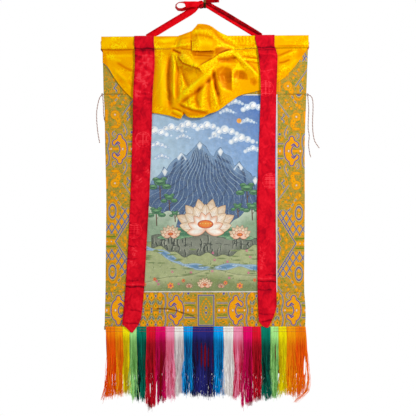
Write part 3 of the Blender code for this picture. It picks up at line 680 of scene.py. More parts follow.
tufts = []
for px, py in scattered(120, -192, 197, 690, 812):
    lean = painter.uniform(-3, 3)
    tufts.append(petal(cx, cy, (px, py), (px + lean, py - painter.uniform(5, 9)), 1.9))
draw("tufts", any_of(tufts))
hollows = scattered(46, -192, 197, 690, 806)
draw("hollows", any_of(oval(cx, cy, at, painter.uniform(7, 17), 2.2) for at in hollows))
FLOWERS = ((-170, 796, 7), (-140, 782, 6), (-96, 800, 10), (-60, 786, 6), (58, 792, 7), (98, 800, 10))
FLOWERS += ((140, 784, 6), (172, 798, 8))
draw("flowers", any_of(blossom(cx, cy, (px, py), size, 6, px) for px, py, size in FLOWERS))
draw("flower_eyes", any_of(disc(cx, cy, (px, py), 0.34 * size) for px, py, size in FLOWERS))
pinks = scattered(16, -180, 190, 700, 806)
draw("pinks", any_of(blossom(cx, cy, at, 4.4, 5, at[0]) for at in pinks))
print("flowers", len(FLOWERS) + len(pinks))

# %% Lotuses
Lotus = namedtuple("Lotus", "across down size")
GREAT_LOTUS = Lotus(2, 646, 92)
LOTUSES = (GREAT_LOTUS, Lotus(-96, 662, 34), Lotus(98, 664, 36), Lotus(0, 802, 26))
LOTUSES += (Lotus(-44, 804, 13), Lotus(46, 804, 13))
# Three rows of petals: the reach and the width of each petal, as shares of the flower's size, and
# its slants in degrees
PETAL_ROWS = {
    "petals_back": (1.0, 0.4, (-62, -38, -13, 13, 38, 62)),
    "petals_middle": (0.82, 0.36, (-78, -50, -25, 0, 25, 50, 78)),
    "petals_front": (0.58, 0.27, (-96, -68, -38, -12, 12, 38, 68, 96)),
}


def petals_of(flower, reach, width, slants):
    """One row of a lotus's petals, spread from its heart."""
    spread = []
    heart = np.array((flower.across, flower.down))
    for slant in np.radians(slants):
        way = np.array((np.sin(slant), -np.cos(slant)))
        spread.append(petal(cx, cy, heart, heart + reach * flower.size * way, width * flower.size))
    return any_of(spread)


leaves, veins, hearts, seeds = [], [], [], []
for middle, down, size in LOTUSES:
    for side in (-size, size):
        leaf_tip = (middle + 1.16 * side, down + 0.06 * size + 2)
        leaves.append(petal(cx, cy, (middle, down), leaf_tip, 0.34 * size))
        veins.append(stroke(cx, cy, ((middle, down), (middle + 1.02 * side, down + 0.06 * size)), 1.0))
    hearts.append(oval(cx, cy, (middle, down - 0.2 * size), 0.24 * size, 0.13 * size))
    for step in range(-2, 3):
        seeds.append(disc(cx, cy, (middle + 0.08 * step * size, down - 0.22 * size), 0.02 * size))
draw("leaves", any_of(leaves))
draw("veins", any_of(veins))
for row, sizes in PETAL_ROWS.items():
    draw(row, any_of(petals_of(flower, *sizes) for flower in LOTUSES))
draw("hearts", any_of(hearts))
draw("seeds", any_of(seeds))
# Fine brush lines down the great petals, as on folded cloth
away_across, away_up = cx - GREAT_LOTUS.across, GREAT_LOTUS.down - cy
spread_angle = np.degrees(np.arctan2(away_across, away_up))
brushed = abs((spread_angle / 5.2) % 1 - 0.5) * np.hypot(away_across, away_up) / 11 - 0.7
great_petals = any_of(petals_of(GREAT_LOTUS, *PETAL_ROWS[row]) for row in ("petals_back", "petals_middle"))
draw("brush_lines", within(brushed, great_petals + 2.2))
CANVAS_MIDDLE, HALF_WIDTH, HALF_HEIGHT = (2.4, 541.2), 200.9, 277.2
draw("primed_edge", -box(cx, cy, CANVAS_MIDDLE, HALF_WIDTH - BARE_EDGE, HALF_HEIGHT - BARE_EDGE))
print("lotuses", len(LOTUSES))

# %% Paint it
PAINTED = (
    Shape("clouds", "#FFFFFC", "#B4CEE8", 7, "#86A8D0", 0.8),
    Shape("curls", "#7CA4D6", "#7CA4D6", 1, "#7CA4D6", 0),
    Shape("sun", "#F09A2C", "#F6C050", 4, "#D8702A", 0.6),
    Shape("crag", "#48648C", "#7C9CC0", 34, "#2C405C", 0.9),
    Shape("gullies", "#2C4468", "#48648C", 7, "#48648C", 0),
    Shape("strata", "#9FB4C4", "#7C98B4", 1, "#7C98B4", 0),
    Shape("snow", "#F2F4F4", "#B7CCE0", 8, "#5F7CA2", 0.7),
    Shape("left_hills", "#8FA88A", "#C4D2BC", 40, "#54705C", 0.8),
    Shape("right_hills", "#8AA684", "#C0D0B8", 40, "#54705C", 0.8),
    Shape("meadow", "#A9B27E", "#8B9A62", 26, "#4A5C3C", 1.0),
    Shape("trunks", "#7A4E36", "#54362A", 2, "#3A2A20", 0.3),
    Shape("crowns", "#2E5E44", "#4F8A5C", 5, "#1C3C2C", 0.7),
    Shape("glints", "#7FB07A", "#5E9A68", 2, "#5E9A68", 0),
    Shape("ledge", "#85897A", "#5E6656", 20, "#2C3028", 1.0),
    Shape("pale_tops", "#BDBFAC", "#9AA08C", 1, "#9AA08C", 0),
    Shape("clefts", "#2A302C", "#454C42", 2, "#454C42", 0),
    Shape("leaves", "#3F7A58", "#8AB98A", 6, "#1E4A38", 0.8),
    Shape("veins", "#BBD8A8", "#BBD8A8", 1, "#BBD8A8", 0),
    Shape("stream", "#5F8CB4", "#B4CEDC", 6, "#46688C", 0.7),
    Shape("ripples", "#E4EEEE", "#E4EEEE", 1, "#E4EEEE", 0),
    Shape("near_bank", "#7F8E54", "#B9BE8C", 30, "#44552F", 1.0),
    Shape("hollows", "#66784A", "#8B9A62", 2, "#8B9A62", 0),
    Shape("tufts", "#55703A", "#55703A", 1, "#43602F", 0.2),
    Shape("pinks", "#F0A8C0", "#E06A92", 2, "#B04468", 0.2),
    Shape("petals_back", "#F4E4D0", "#D8B48C", 14, "#7A5A48", 0.8),
    Shape("petals_middle", "#FBF2E4", "#E8C8A0", 12, "#8A5F48", 0.8),
    Shape("brush_lines", "#C98A5A", "#D8A878", 1, "#D8A878", 0),
    Shape("petals_front", "#FFF8EC", "#F0A87C", 9, "#9A4C34", 0.8),
    Shape("hearts", "#F08A2C", "#D8502A", 6, "#8A2C18", 0.8),
    Shape("seeds", "#FBE08A", "#F0B83C", 1, "#F0B83C", 0),
    Shape("flowers", "#F8C23C", "#F0803C", 4, "#A8441C", 0.4),
    Shape("flower_eyes", "#E0406A", "#C42C50", 2, "#8E1838", 0.3),
    Shape("primed_edge", "#F3F0E8", "#E8E4DA", 3, "#5F5A50", 0.5),
)
here = add(mineral_paint, "ShaderNodeTexCoord").outputs["Object"]
where = add(mineral_paint, "ShaderNodeSeparateXYZ", {0: here})
lower = ramp(mineral_paint, where.outputs[2], -0.27, -0.47)
to_right = ramp(mineral_paint, where.outputs[0], -0.12, 0.16)
deep_sky = blend(mineral_paint, to_right, linear("#9FBEDA"), linear("#2C5FB0"))
pale_sky = blend(mineral_paint, to_right, linear("#B6D0E0"), linear("#7EA8DC"))
painted = lay_on(mineral_paint, blend(mineral_paint, lower, deep_sky, pale_sky), PAINTED)
wash = ramp(mineral_paint, mottle(mineral_paint, 12, detail=5), 0.38, 0.72, 0.0, 0.24)
painted = blend(mineral_paint, wash, painted, linear("#3F4A44"))
dab = mottle(mineral_paint, 3.4, (1, 1, 2.0), distortion=1.0)
painted = blend(mineral_paint, ramp(mineral_paint, dab, 0.56, 0.66, 0.0, 0.16), painted, linear("#F4F2E0"))
connect(mineral_paint, painted, paint_shader)
weave(mineral_paint, paint_shader, 1.8, 0.05)
print("kinds of painted shapes", len(PAINTED))

# %% [markdown]
# ## Brocade
#
# Brocade is woven with extra coloured wefts on a satin ground: orange clouds and leaves with
# blue-violet outlines on an olive gold. The common pattern mirrors about the middle, and turns over
# at set distances down the sides, so it is drawn once, from the distance to each mirror line.

# %% Tables of the brocade's motifs
# All places are h across the repeat and u down it, in millimetres from its two fold lines, or w up
# from its foot. The motifs on the leaves repeat every LEAF_PITCH across.
REPEAT_DOWN = 259.0
LEAF_PITCH, LEAF_START = 23.5, 40.7
MEDAL_MIDDLE = 123.6
HOOKED_CLOUD = (
    (62.3, -2), (62.3, 3), (61.4, 10), (59.2, 19), (56, 25), (51.5, 28.6), (48.6, 31), (48.6, 35),
    (46.9, 39.6), (43.8, 42.2), (40.3, 43), (36.8, 42.2), (33.6, 39.6), (32, 35), (31.6, 31.2),
    (28, 28.2), (23.4, 26.2), (19.8, 22.4), (18.2, 17.6), (19.2, 12.4), (22.6, 9.4), (27, 9.0),
    (31.6, 12.4), (34, 13.6), (36.4, 10), (39, 6), (40, -2),
)
LEAF_WIDTHS = ((0, 2, 5, 12, 17, 21, 26), (5.0, 7.4, 9.2, 7.4, 4.2, 1.8, -2.0))
HIGH_LEAF_WIDTHS = ((23, 26, 29, 33, 38, 46, 53), (-2.0, 1.4, 4.4, 8.4, 9.2, 7.0, 3.0))


def diamond(x, y, middle):
    """A bead of the chain, 11 mm across and 17 mm high."""
    return abs(x - middle[0]) * 0.9 + abs(y - middle[1]) * 0.6 - 5.0


ORANGE = (
    (disc, (27, 96), 13), (disc, (36, 82), 8), (disc, (38, 71), 6.5), (disc, (27, 42), 5.2),
    (disc, (66, 84), 4), (disc, (20, 166), 5), (disc, (20, 182), 5), (disc, (42, 119), 4.4),
    (disc, (49.4, 130.6), 4.4), (disc, (56.8, 142.2), 4.4), (oval, (28, 62), 13, 4.5),
    (oval, (55, 87), 4, 14), (oval, (68, 116), 4, 8), (oval, (4, 22), 3.4, 9), (oval, (4, 42), 3.2, 6),
    (box, (3.5, 95), 3.6, 17), (box, (24, 0), 15, 4), (box, (71, 0), 6, 7), (box, (15.5, 30), 1.6, 24),
    (box, (79, 0), 14, 7.5), (box, (98, 0), 1.2, 46), (petal, (52, 72), (58, 40), 8),
    (petal, (64, 28), (80, 36), 7), (petal, (66, 40), (78, 30), 6),
    (stroke, ((64, 36), (72, 30), (92, 30)), 5), (diamond, (41, 155)), (diamond, (51, 171)),
    (diamond, (33, 142)), (diamond, (26, 130)), (diamond, (18, 124)), (diamond, (60, 184)),
)
# The pointed medallion, from its own middle line
MEDAL = (
    (disc, (0, 32), 3.4), (disc, (7, 25), 3), (disc, (10.6, 18.2), 3), (disc, (14, 11), 3),
    (disc, (15, 3.4), 3), (disc, (0, 19), 3), (disc, (5, 12), 2.2), (disc, (7.4, 4.6), 2.4),
    (disc, (0, 0), 3.2), (stroke, ((0, 33), (7, 25.5), (10.6, 18), (14, 11), (15.2, -1)), 2.2),
    (stroke, ((0, 20), (5, 12.5), (8, 5), (8, -1)), 1.6),
)
GREEN = (
    (petal, (71, 31), (80, 31), 4), (petal, (69, 33), (73, 40), 3.4), (box, (78, 13.5), 14, 1.6),
    (disc, (35, 84), 1.8), (disc, (38, 71), 1.6), (oval, (55, 87), 1.2, 7),
)
BLUE = (
    (stroke, ((48, 96), (92, 157)), 2.2), (stroke, ((51, 70), (58, 58), (61, 47), (57, 37)), 2.2),
    (stroke, ((51, 56), (52, 49)), 2.4),
    (stroke, ((2, 49), (8, 43), (11, 30), (11, 20), (9, 12), (6.5, 0)), 2.6),
    (stroke, ((64, 103), (61, 99), (65, 95), (69, 90), (61, 84), (63, 80)), 2.6),
    (box, (78, 20.5), 15, 1.3), (stroke, ((44, 161), (48, 167)), 2.6),
    (stroke, ((36, 148), (40, 154)), 2.4), (stroke, ((28, 135), (32, 140)), 2.2),
    (stroke, ((28.6, 13.4), (34.2, 20.2), (40, 15.6)), 3.8), (disc, (27, 42), 1.8),
    (disc, (MEDAL_MIDDLE, 6.8), 3.2), (disc, (74, 47), 3.4),
)
PALE = (
    (disc, (27, 96), 3.2), (oval, (48.6, 0), 3, 4.6), (oval, (16, 0), 2.8, 4.2),
    (oval, (73, 0), 2.8, 5), (oval, (87, 0), 2.8, 5), (disc, (20, 174), 2.2), (disc, (46, 125), 2),
    (disc, (53, 137), 2), (disc, (MEDAL_MIDDLE, 12.5), 2),
)
# These two are placed by w, from the repeat's foot
BLUE_FROM_FOOT = (
    (stroke, ((28.6, 0), (85.6, 90.3)), 2.8),
    (stroke, ((77, 44), (80, 36), (76, 26), (72, 12), (77, 4)), 3),
)
PALE_FROM_FOOT = ((disc, (17, 0), 2.6), (disc, (5, 0), 2.4))
print("motifs", len(ORANGE + MEDAL + GREEN + BLUE + PALE + BLUE_FROM_FOOT + PALE_FROM_FOOT))

# %% The brocade's pattern
def tilted_lattice(h, w):
    """Slanting lines of a diamond lattice, and where it climbs beside the chevron."""
    rising = abs((h / 9.2 + w / 15 - 5.63 + 1) % 2 - 1)
    falling = abs((h / 9.2 - w / 15 - 0.3 + 1) % 2 - 1)
    beside = [0.63 * w + 29 - h, np.where(w < 52, h + 5, h - 0.63 * w + 10), 94 - w, w - 22]
    return np.minimum(rising, falling) * 7.84, np.minimum(100, -any_of(beside))


def woven_motifs(h, u):
    """Every motif's distances, h across the repeat and u down it, by the names in WOVEN."""
    w = REPEAT_DOWN - u
    from_medal = abs(h - MEDAL_MIDDLE)
    lattice, climbs = tilted_lattice(h, w)
    leaf = (h + LEAF_START + LEAF_PITCH / 2) % LEAF_PITCH - LEAF_PITCH / 2
    other_leaf = (h + LEAF_START) % LEAF_PITCH - LEAF_PITCH / 2
    leafy_part = np.maximum(h - 1.5, u - 52)
    leaves = [
        np.maximum(abs(leaf) - np.interp(u, *LEAF_WIDTHS), 1.2 - u),
        abs(other_leaf) - np.interp(u, *HIGH_LEAF_WIDTHS),
    ]
    greys = [petal(other_leaf, u, (0, 14), (side * 8, 29), 6) for side in (-1, 1)]
    fills = [
        drawn(h, u, ORANGE),
        drawn(from_medal, u, MEDAL),
        abs(oval(h, u, (20, 174), 15, 30)) - 2.0,
        box(h, w, (10, 0), 19, 6.5),
        np.maximum(np.maximum(0.63 * w + 38 - h, w - 66), 3.2 - lattice),
        np.maximum(3.0 - lattice, climbs),
    ]
    on_leaves = [
        petal(leaf, u, (0, 8.5), (0, 15.5), 4.6),
        box(leaf, u, (0, 0), 10, 1.0),
        oval(other_leaf, u, (0, 35), 2.0, 3.8),
    ]
    greens = [
        within(any_of(on_leaves), leafy_part),
        drawn(h, u, GREEN),
        box(h, w, (12, 13.5), 18, 2.2),
        abs(disc(h, u, (27, 96), 6.4)) - 0.7,
    ]
    between_leaves = [oval(other_leaf, u, (0, 3.6), 2.0, 3.6), oval(leaf, u, (0, 40), 2.4, 3.8)]
    blues = [
        drawn(h, u, BLUE),
        drawn(h, w, BLUE_FROM_FOOT),
        within(any_of(between_leaves), leafy_part),
        np.maximum(abs(disc(h, u, (27, 42), 7.4)) - 1.1, h - 26),
        abs(oval(h, u, (20, 174), 9.6, 18)) - 1.3,
        abs(box(h, u, (MEDAL_MIDDLE, 0), 21.6, 42)) - 1.5,
        np.maximum(lattice - 1.3, climbs),
    ]
    dots = [drawn(h, u, PALE), drawn(h, w, PALE_FROM_FOOT), within(disc(leaf, u, (0, 32), 2.0), leafy_part)]
    hooks, lines = polygon(h, u, HOOKED_CLOUD), any_of(blues)
    return {
        "plain": box(h, u, (MEDAL_MIDDLE, 0), 20, 40),
        "fills": any_of(fills),
        "leaves": within(any_of(leaves), leafy_part),
        "greys": within(any_of(greys), leafy_part),
        "greens": any_of(greens),
        "halo": np.minimum(hooks, lines) - 1.5,
        "hooks": hooks,
        "lines": np.where(hooks > 1.5, lines, np.maximum(lines, 4 - u)),
        "dots": any_of(dots),
    }

# %% Dye and weave the brocade
brocade, brocade_shader = start_material(
    "silk_brocade", {"Roughness": 0.5, "Specular IOR Level": 0.15, "Specular Tint": linear("#FFD890")}
)
WOVEN = (
    Shape("woven_plain", "#9A9C4A", "#A8A052", 4, "#A89E58", 0.0),
    Shape("woven_fills", "#FFAC08", "#F09400", 3, "#C08420", 0.5),
    Shape("woven_leaves", "#FFB010", "#E88400", 5, "#A86414", 0.9),
    Shape("woven_greys", "#66747C", "#7E8A86", 2, "#C8C096", 0.7),
    Shape("woven_greens", "#6A8A18", "#7E8E28", 1, "#9A9440", 0.2),
    Shape("woven_halo", "#CDBC80", "#BDAC6A", 1, "#B4A050", 0.3),
    Shape("woven_hooks", "#FFAC08", "#F29400", 6, "#4C48A6", 2.5),
    Shape("woven_lines", "#5450A4", "#6A66A0", 1, "#7A78A0", 0.0),
    Shape("woven_dots", "#F6E4CA", "#E0C4AC", 1, "#A05A50", 0.7),
)
gold = scale_of(brocade, mottle(brocade, 14, detail=3), ((0.4, "#9A9440"), (0.6, "#BEA03E")))
leafy = blend(brocade, ramp(brocade, mottle(brocade, 6, detail=1), 0.58, 0.63), gold, linear("#7C9030"))
flecks = ramp(brocade, mottle(brocade, 8.5, (1, 1, 1.5), detail=2, distortion=1.8), 0.53, 0.58)
ground = blend(brocade, flecks, leafy, linear("#EC9A18"))
woven = lay_on(brocade, ground, WOVEN)
wefts = ramp(brocade, mottle(brocade, 2.6, (1, 1, 2.4), detail=1), 0.4, 0.68, 0.0, 0.42)
woven = blend(brocade, wefts, woven, linear("#7C6420"))
# The seams and creases are painted dark brown, as shade
crease_shade = ramp(brocade, kept(brocade, "crease_shade"), 0.1, 1.0, 0.0, 0.82)
connect(brocade, blend(brocade, crease_shade, woven, linear("#4A3008")), brocade_shader)
weave(brocade, brocade_shader, 1.6, 0.12)
print("woven colours", len(WOVEN))

# %% Cut the four panels
# Painted shade along the brocade's seams and creases, with how dark each line is
CREASE_SHADE_LINES = (
    (1.1, ((-132, 864.2), (-110, 864.9), (-90.8, 867.7), (-77, 870.4), (-63.3, 875.9))),
    (0.8, ((-63.3, 875.9), (-49.5, 879.4), (-35.8, 884.9), (-27, 889.4))),
    (0.5, ((-168, 861.5), (-132, 864.2))),
    (0.5, ((-284, 263), (-230, 263.5))),
    (0.5, ((222, 264), (284, 263))),
    (0.35, ((-279, 296), (-236, 295))),
)
CREASE_SHADE_WIDTH = 2.2
# Each panel was cut where it suited the maker, so each begins elsewhere in the repeat, and the top
# one's two halves do too
Panel = namedtuple("Panel", "node flat origin fold_down")
PANELS = (
    Panel("brocade_top", (0.566, 0.131), (189.3, 202.5), 336.8),
    Panel("brocade_left", (0.081, 0.555), 282.0, 417.0),
    Panel("brocade_right", (0.078, 0.555), 280.0, 423.0),
    Panel("brocade_bottom", (0.562, 0.142), 164.3, 869.0),
)
MIRROR_ACROSS = 3.5
BROCADE_STEP = 1.9
FOOT_TUCK = 0.02  # the brocade's foot is drawn in by this share, over the rod
TUCK_TOP, TUCK_FOOT = 0.9125, 0.918  # in metres down


def place_in_repeat(panel, x, y):
    """How far across and down the repeat each point of a panel lies."""
    from_mirror = abs(x - MIRROR_ACROSS)
    if panel.node == "brocade_top":
        return abs(from_mirror - np.where(x < 0, *panel.origin)), panel.fold_down - y
    u = abs((y - panel.fold_down + REPEAT_DOWN) % (2 * REPEAT_DOWN) - REPEAT_DOWN)
    if panel.node == "brocade_bottom":
        return abs(from_mirror - panel.origin) - LEAF_START, u
    return panel.origin - from_mirror, u


for panel in PANELS:
    bm = rounded(cage_of(panel.node), 1)
    slice_sheet(bm, BROCADE_STEP)
    turn_back_edges(bm, 0.9)
    for vert in bm.verts:
        vert.co.x *= 1 - FOOT_TUCK * ease(TUCK_TOP, TUCK_FOOT, -vert.co.z)
    cloth = piece("woven_" + panel.node, bm, brocade, "brocade", panel.node)
    px, py, _ = places(cloth.data)
    for name, field in woven_motifs(*place_in_repeat(panel, px, py)).items():
        keep(cloth.data, "woven_" + name, field)
    # Each point keeps how much painted shade from the seams and creases lies on it
    marks = [strength * bump(along(px, py, line)[0], CREASE_SHADE_WIDTH) for strength, line in CREASE_SHADE_LINES]
    keep(cloth.data, "crease_shade", sum(marks))

# %% [markdown]
# ## Yellow silk
#
# The curtain and the sleeve are satin damask, and a leafy figure shines on the ground in groups.
# Light and shade on the folds are painted into the colour: each point keeps, as turned, how far it is
# painted to the light or to the shade, and the colour goes from deep orange in painted shade to
# bright yellow in painted light. The figure's shine is painted lighter, only where that light is.

# %% Dye the silk
silk, silk_shader = start_material(
    "yellow_silk_damask",
    {
        "Roughness": 0.38,
        "Specular IOR Level": 0.45,
        "Specular Tint": linear("#FFD000"),
        "Sheen Weight": 0.1,
        "Sheen Roughness": 0.35,
        "Sheen Tint": linear("#FFC800"),
    },
)
# The figure's shine is painted as a lighter tone, in groups, and only where the painted light is
leafage = ramp(silk, mottle(silk, 7, detail=2, distortion=1.8), 0.44, 0.58, -0.3, 0.85)
grouped = ramp(silk, mottle(silk, 46, detail=1), 0.42, 0.56, 0.12, 1.0)
in_light = ramp(silk, kept(silk, "turned"), -0.7, 0.2, 0.1, 1.0)
figure = product_of(silk, leafage, product_of(silk, grouped, in_light))
# The painted light and shade of the folds, and the figure's painted shine, set the colour
silk_painted_light = sum_of(silk, kept(silk, "turned"), figure)
# From the deepest painted shade to the brightest painted light
SILK_SCALE = (
    (-1.7, "#8A3400"),
    (-1.0, "#CC6A00"),
    (-0.45, "#E88E00"),
    (0.1, "#F6AE00"),
    (0.6, "#FFC800"),
    (1.2, "#FFE60A"),
)
connect(silk, scale_of(silk, silk_painted_light, SILK_SCALE), silk_shader)
connect(silk, ramp(silk, figure, -0.2, 0.6, 0.44, 0.3), silk_shader, "Roughness")
weave(silk, silk_shader, 1.4, 0.04)
print("yellow silk", len(SILK_SCALE), "tones")

# %% Tables of the silk's creases
# A ridge lifts the cloth by its height and falls off over its width on both sides of its line, and a
# groove is a ridge of negative height. The tone is the painted light, above 0, or painted shade,
# below 0, that the crease gives the silk. Each row is a height, a width, a tone and the places on the line.
RIDGES = (
    (2.5, 9, 0.55, (-120, 146), (-120, 310)), (-1.5, 5, -0.35, (-137, 151), (-139, 211), (-142, 312)),
    (-6, 5.5, -1.1, (-98, 151), (-102, 196), (-101, 240), (-97, 304)),
    (5, 4, 0.9, (-90, 148), (-87, 187), (-88, 235), (-87, 283)),
    (-4, 4.5, -0.8, (-79, 158), (-75, 196), (-78, 235), (-79, 283)),
    (4, 3.5, 0.8, (-85, 148), (-75, 177), (-66, 208), (-61, 242), (-68, 261)),
    (-3, 5, -0.7, (-72, 177), (-68, 199), (-56, 225), (-45, 247)),
    (4, 7, 0.7, (-66, 155), (-46, 170), (-32, 184), (-15, 189)),
    (-4, 3, -1.6, (-92, 139), (-78, 146), (-66, 153)),
    (-1.5, 2.2, -1, (-68, 138), (-51, 140), (-37, 143)),
    (4, 7, 0.8, (-13, 204), (7, 189), (26, 176), (45, 160), (74, 146)),
    (-7, 6, -0.9, (86, 163), (65, 169), (43, 169), (31, 171)),
    (2, 4, 0.4, (36, 183), (55, 181), (74, 184)),
    (6, 7, 0.6, (28, 184), (24, 199), (2, 218), (-37, 245), (-68, 274), (-78, 290)),
    (-7, 5, -1, (26, 199), (20, 220), (-8, 247), (-44, 274), (-73, 292)),
    (1.5, 2.5, 0.4, (11, 204), (-17, 228), (-46, 249)), (1.5, 9, 0.6, (-46, 222), (-22, 211)),
    (-7, 5.5, -1.3, (24, 196), (26, 220), (32, 249), (37, 274)),
    (4, 4, 0.7, (19, 206), (21, 240), (28, 274), (34, 302)),
    (-4, 5, -0.7, (11, 216), (11, 249), (11, 283), (16, 312)),
    (3.5, 5, 0.8, (2, 230), (-5, 264), (-8, 306)), (-3.5, 5, -0.7, (-13, 242), (-25, 278), (-17, 306)),
    (2.5, 5, 0.5, (-37, 266), (-44, 286), (-32, 305)), (-3, 5, -0.6, (37, 259), (42, 300)),
    (1.5, 5, 0.7, (-32, 90), (-13, 87), (9, 89)),
    (-1.5, 3.5, -0.6, (-34, 102), (-13, 100), (9, 105), (24, 112)),
    (2, 9, 0.7, (-27, 124), (-3, 122), (24, 126)), (-2, 2, -1.2, (-34, 158), (-5, 159), (22, 161)),
    (-1, 3, -0.5, (-39, 85), (-38, 112)), (-2, 4, -0.7, (24, 90), (40, 107), (60, 122), (79, 131)),
    (2, 4, 0.6, (31, 85), (50, 100), (74, 114), (93, 126)),
    (2, 4, 0.6, (28, 107), (45, 122), (69, 130), (84, 137)),
    (1.5, 3, 0.8, (24, 137), (45, 128), (65, 129), (81, 137)),
    (-1.2, 2.5, -0.7, (89, 126), (113, 128), (142, 127)),
    (5, 3.6, 0.9, (72, 148), (103, 167), (132, 196), (156, 222)),
    (-3, 2.5, -0.9, (81, 160), (91, 170), (101, 181)),
    (-3, 3, -0.8, (108, 167), (130, 184), (149, 206)),
    (-2.5, 2.2, -0.9, (101, 158), (125, 161), (151, 164)),
    (2, 2.2, 0.7, (106, 166), (127, 168), (151, 169)),
    (-2.5, 2.6, -0.9, (115, 172), (134, 175), (154, 177)),
    (1.5, 4, 0.5, (84, 151), (115, 151), (144, 153)), (-7, 9, -0.2, (50, 206), (62, 237)),
    (-6, 8, -0.2, (93, 211), (110, 216)), (-4, 5, -0.2, (134, 228), (139, 233)),
    (3, 3, 0.5, (78, 196), (77, 255)), (2, 4, 0.6, (34, 228), (46, 251), (72, 260)),
    (3, 4, 0.6, (156, 218), (157, 247)), (-2.5, 2.2, -1.2, (-94, 302), (-78, 307), (-64, 314)),
    (2.5, 3, 0.8, (-90, 309), (-75, 315), (-61, 323)),
    (-2, 2.5, -0.8, (-95, 315), (-80, 323), (-68, 329)),
    (-5, 4.5, -1.1, (-75, 292), (-56, 302), (-37, 310), (-13, 315), (11, 317)),
    (3.5, 4, 0.6, (-68, 292), (-46, 300), (-25, 307), (7, 311)),
    (2, 3, 0.5, (-46, 328), (-27, 330), (-3, 325)), (-2, 3, -1.6, (-61, 315), (-57, 322), (-54, 328)),
    (-1.5, 3, -0.6, (-142, 126), (-104, 122), (-71, 112), (-39, 105)),
    (1.5, 3, 0.8, (-97, 132), (-66, 126), (-39, 125)),
    (-1, 2.5, -0.6, (-109, 137), (-73, 135), (-39, 132)),
    (1, 5, 0.4, (-136, 114), (-102, 114), (-46, 113)),
    (-1, 4, -0.5, (-142, 107), (-85, 103), (-42, 94)),
    (-1, 2, -0.7, (-287, 140), (-240, 141), (-196, 139)),
    (-2, 4, -0.8, (-248, 173), (-223, 190), (-197, 201)), (1.5, 6, 0.5, (-265, 163), (-234, 172)),
    (-1, 6, -0.4, (-240, 223), (-214, 232), (-198, 241)),
    (2, 6, 0.4, (-252, 194), (-223, 225), (-205, 250)),
    (1, 3, 0.4, (-278, 158), (-229, 157), (-196, 157)),
    (-1.5, 3, -0.8, (204, 157), (226, 148), (244, 140)),
    (1.5, 3, 0.6, (206, 165), (230, 154), (257, 143)), (-2, 3, -1, (206, 177), (221, 174), (239, 167)),
    (1.5, 5, 0.5, (208, 194), (235, 187), (257, 165)),
    (-1, 2, -0.8, (197, 129), (244, 129), (293, 129)),
)
# A lap is the edge of an upper layer, which lies on the left of its line as one follows it: its own
# side stands up with a painted lighter lip, and painted shade lies on the other side
LAPS = (
    (6, 8, 0.5, (-75, 158), (-61, 179), (-37, 189), (-15, 196), (-7, 208)),
    (6, 9, 0.5, (77, 140), (60, 146), (40, 156), (24, 168), (2, 180), (-15, 190)),
    (3.5, 6, 0.3, (-37, 145), (-5, 146), (26, 145)), (3, 8, 0.2, (-37, 111), (-36, 126), (-36, 148)),
)
# A patch of silk is painted light or shade as a whole: each row is its tone, the softness of its rim
# and its outline
PAINTED_TONE_PATCHES = (
    (-0.45, 3, (-37, 88), (-20, 69), (11, 70), (26, 78), (42, 91), (31, 94), (19, 85), (-13, 82),
     (-32, 87)),
    (-0.9, 2.5, (-36, 147), (27, 146), (24, 156), (-34, 157)),
    (-0.45, 3, (-34, 162), (22, 163), (18, 172), (-27, 170)),
    (-1, 3, (29, 139), (45, 134), (78, 139), (50, 151), (29, 156)),
    (-0.3, 6, (-68, 187), (-8, 208), (-44, 247)),
    (0.9, 2.5, (94, 171), (100, 187), (112, 196), (80, 196), (87, 187)),
    (-0.8, 2.2, (32, 196), (50, 187), (75, 194), (76, 255), (60, 252), (48, 242), (36, 220)),
    (-0.8, 2.2, (81, 208), (89, 198), (106, 198), (118, 208), (121, 224), (101, 222), (81, 219)),
    (-0.6, 2.2, (126, 220), (139, 218), (148, 230), (139, 241), (128, 235)),
    (-0.4, 4, (-61, 310), (-27, 317), (11, 319), (-13, 329), (-46, 325)),
    (-0.35, 5, (31, 163), (86, 158), (86, 177), (36, 179)),
    (-0.35, 3, (-286, 135), (-196, 133), (-196, 150), (-285, 152)),
    (-0.4, 5, (-285, 154), (-274, 157), (-273, 185), (-284, 181)),
    (-0.35, 5, (262, 138), (287, 141), (275, 157), (257, 165)),
)
print("creases", len(RIDGES + LAPS), "patches", len(PAINTED_TONE_PATCHES))

# %% Lift and turn the silk at its creases
FADE = 0.16  # of a crease's length, at each end
# How far these reach from a lap's edge, in millimetres: its steep side, its painted bright lip and
# its painted shade
LAP_CLIFF, LAP_LIP, LAP_SHADE = 1.2, 4, 3.4
HEIGHTS_KEPT = 0.62
# Fine creases spread by chance from where the silk is gathered, each lifting it a little, painted
# light along its line and painted shade on one side, as strongly as its tone
Gather = namedtuple("Gather", "across down reach tone")
GATHERS = (
    Gather(-96, 142, 170, 0.3),
    Gather(-2, 190, 130, 0.3),
    Gather(66, 140, 110, 0.25),
    Gather(-74, 292, 60, 0.3),
    Gather(-286, 136, 110, 0.25),
    Gather(286, 136, 110, 0.25),
)
FINE_CREASES = 9  # in each gather
CREASER_SEED = 3
UNDER_BANDS = ((-201.5, -142.5), (146.5, 203.5))


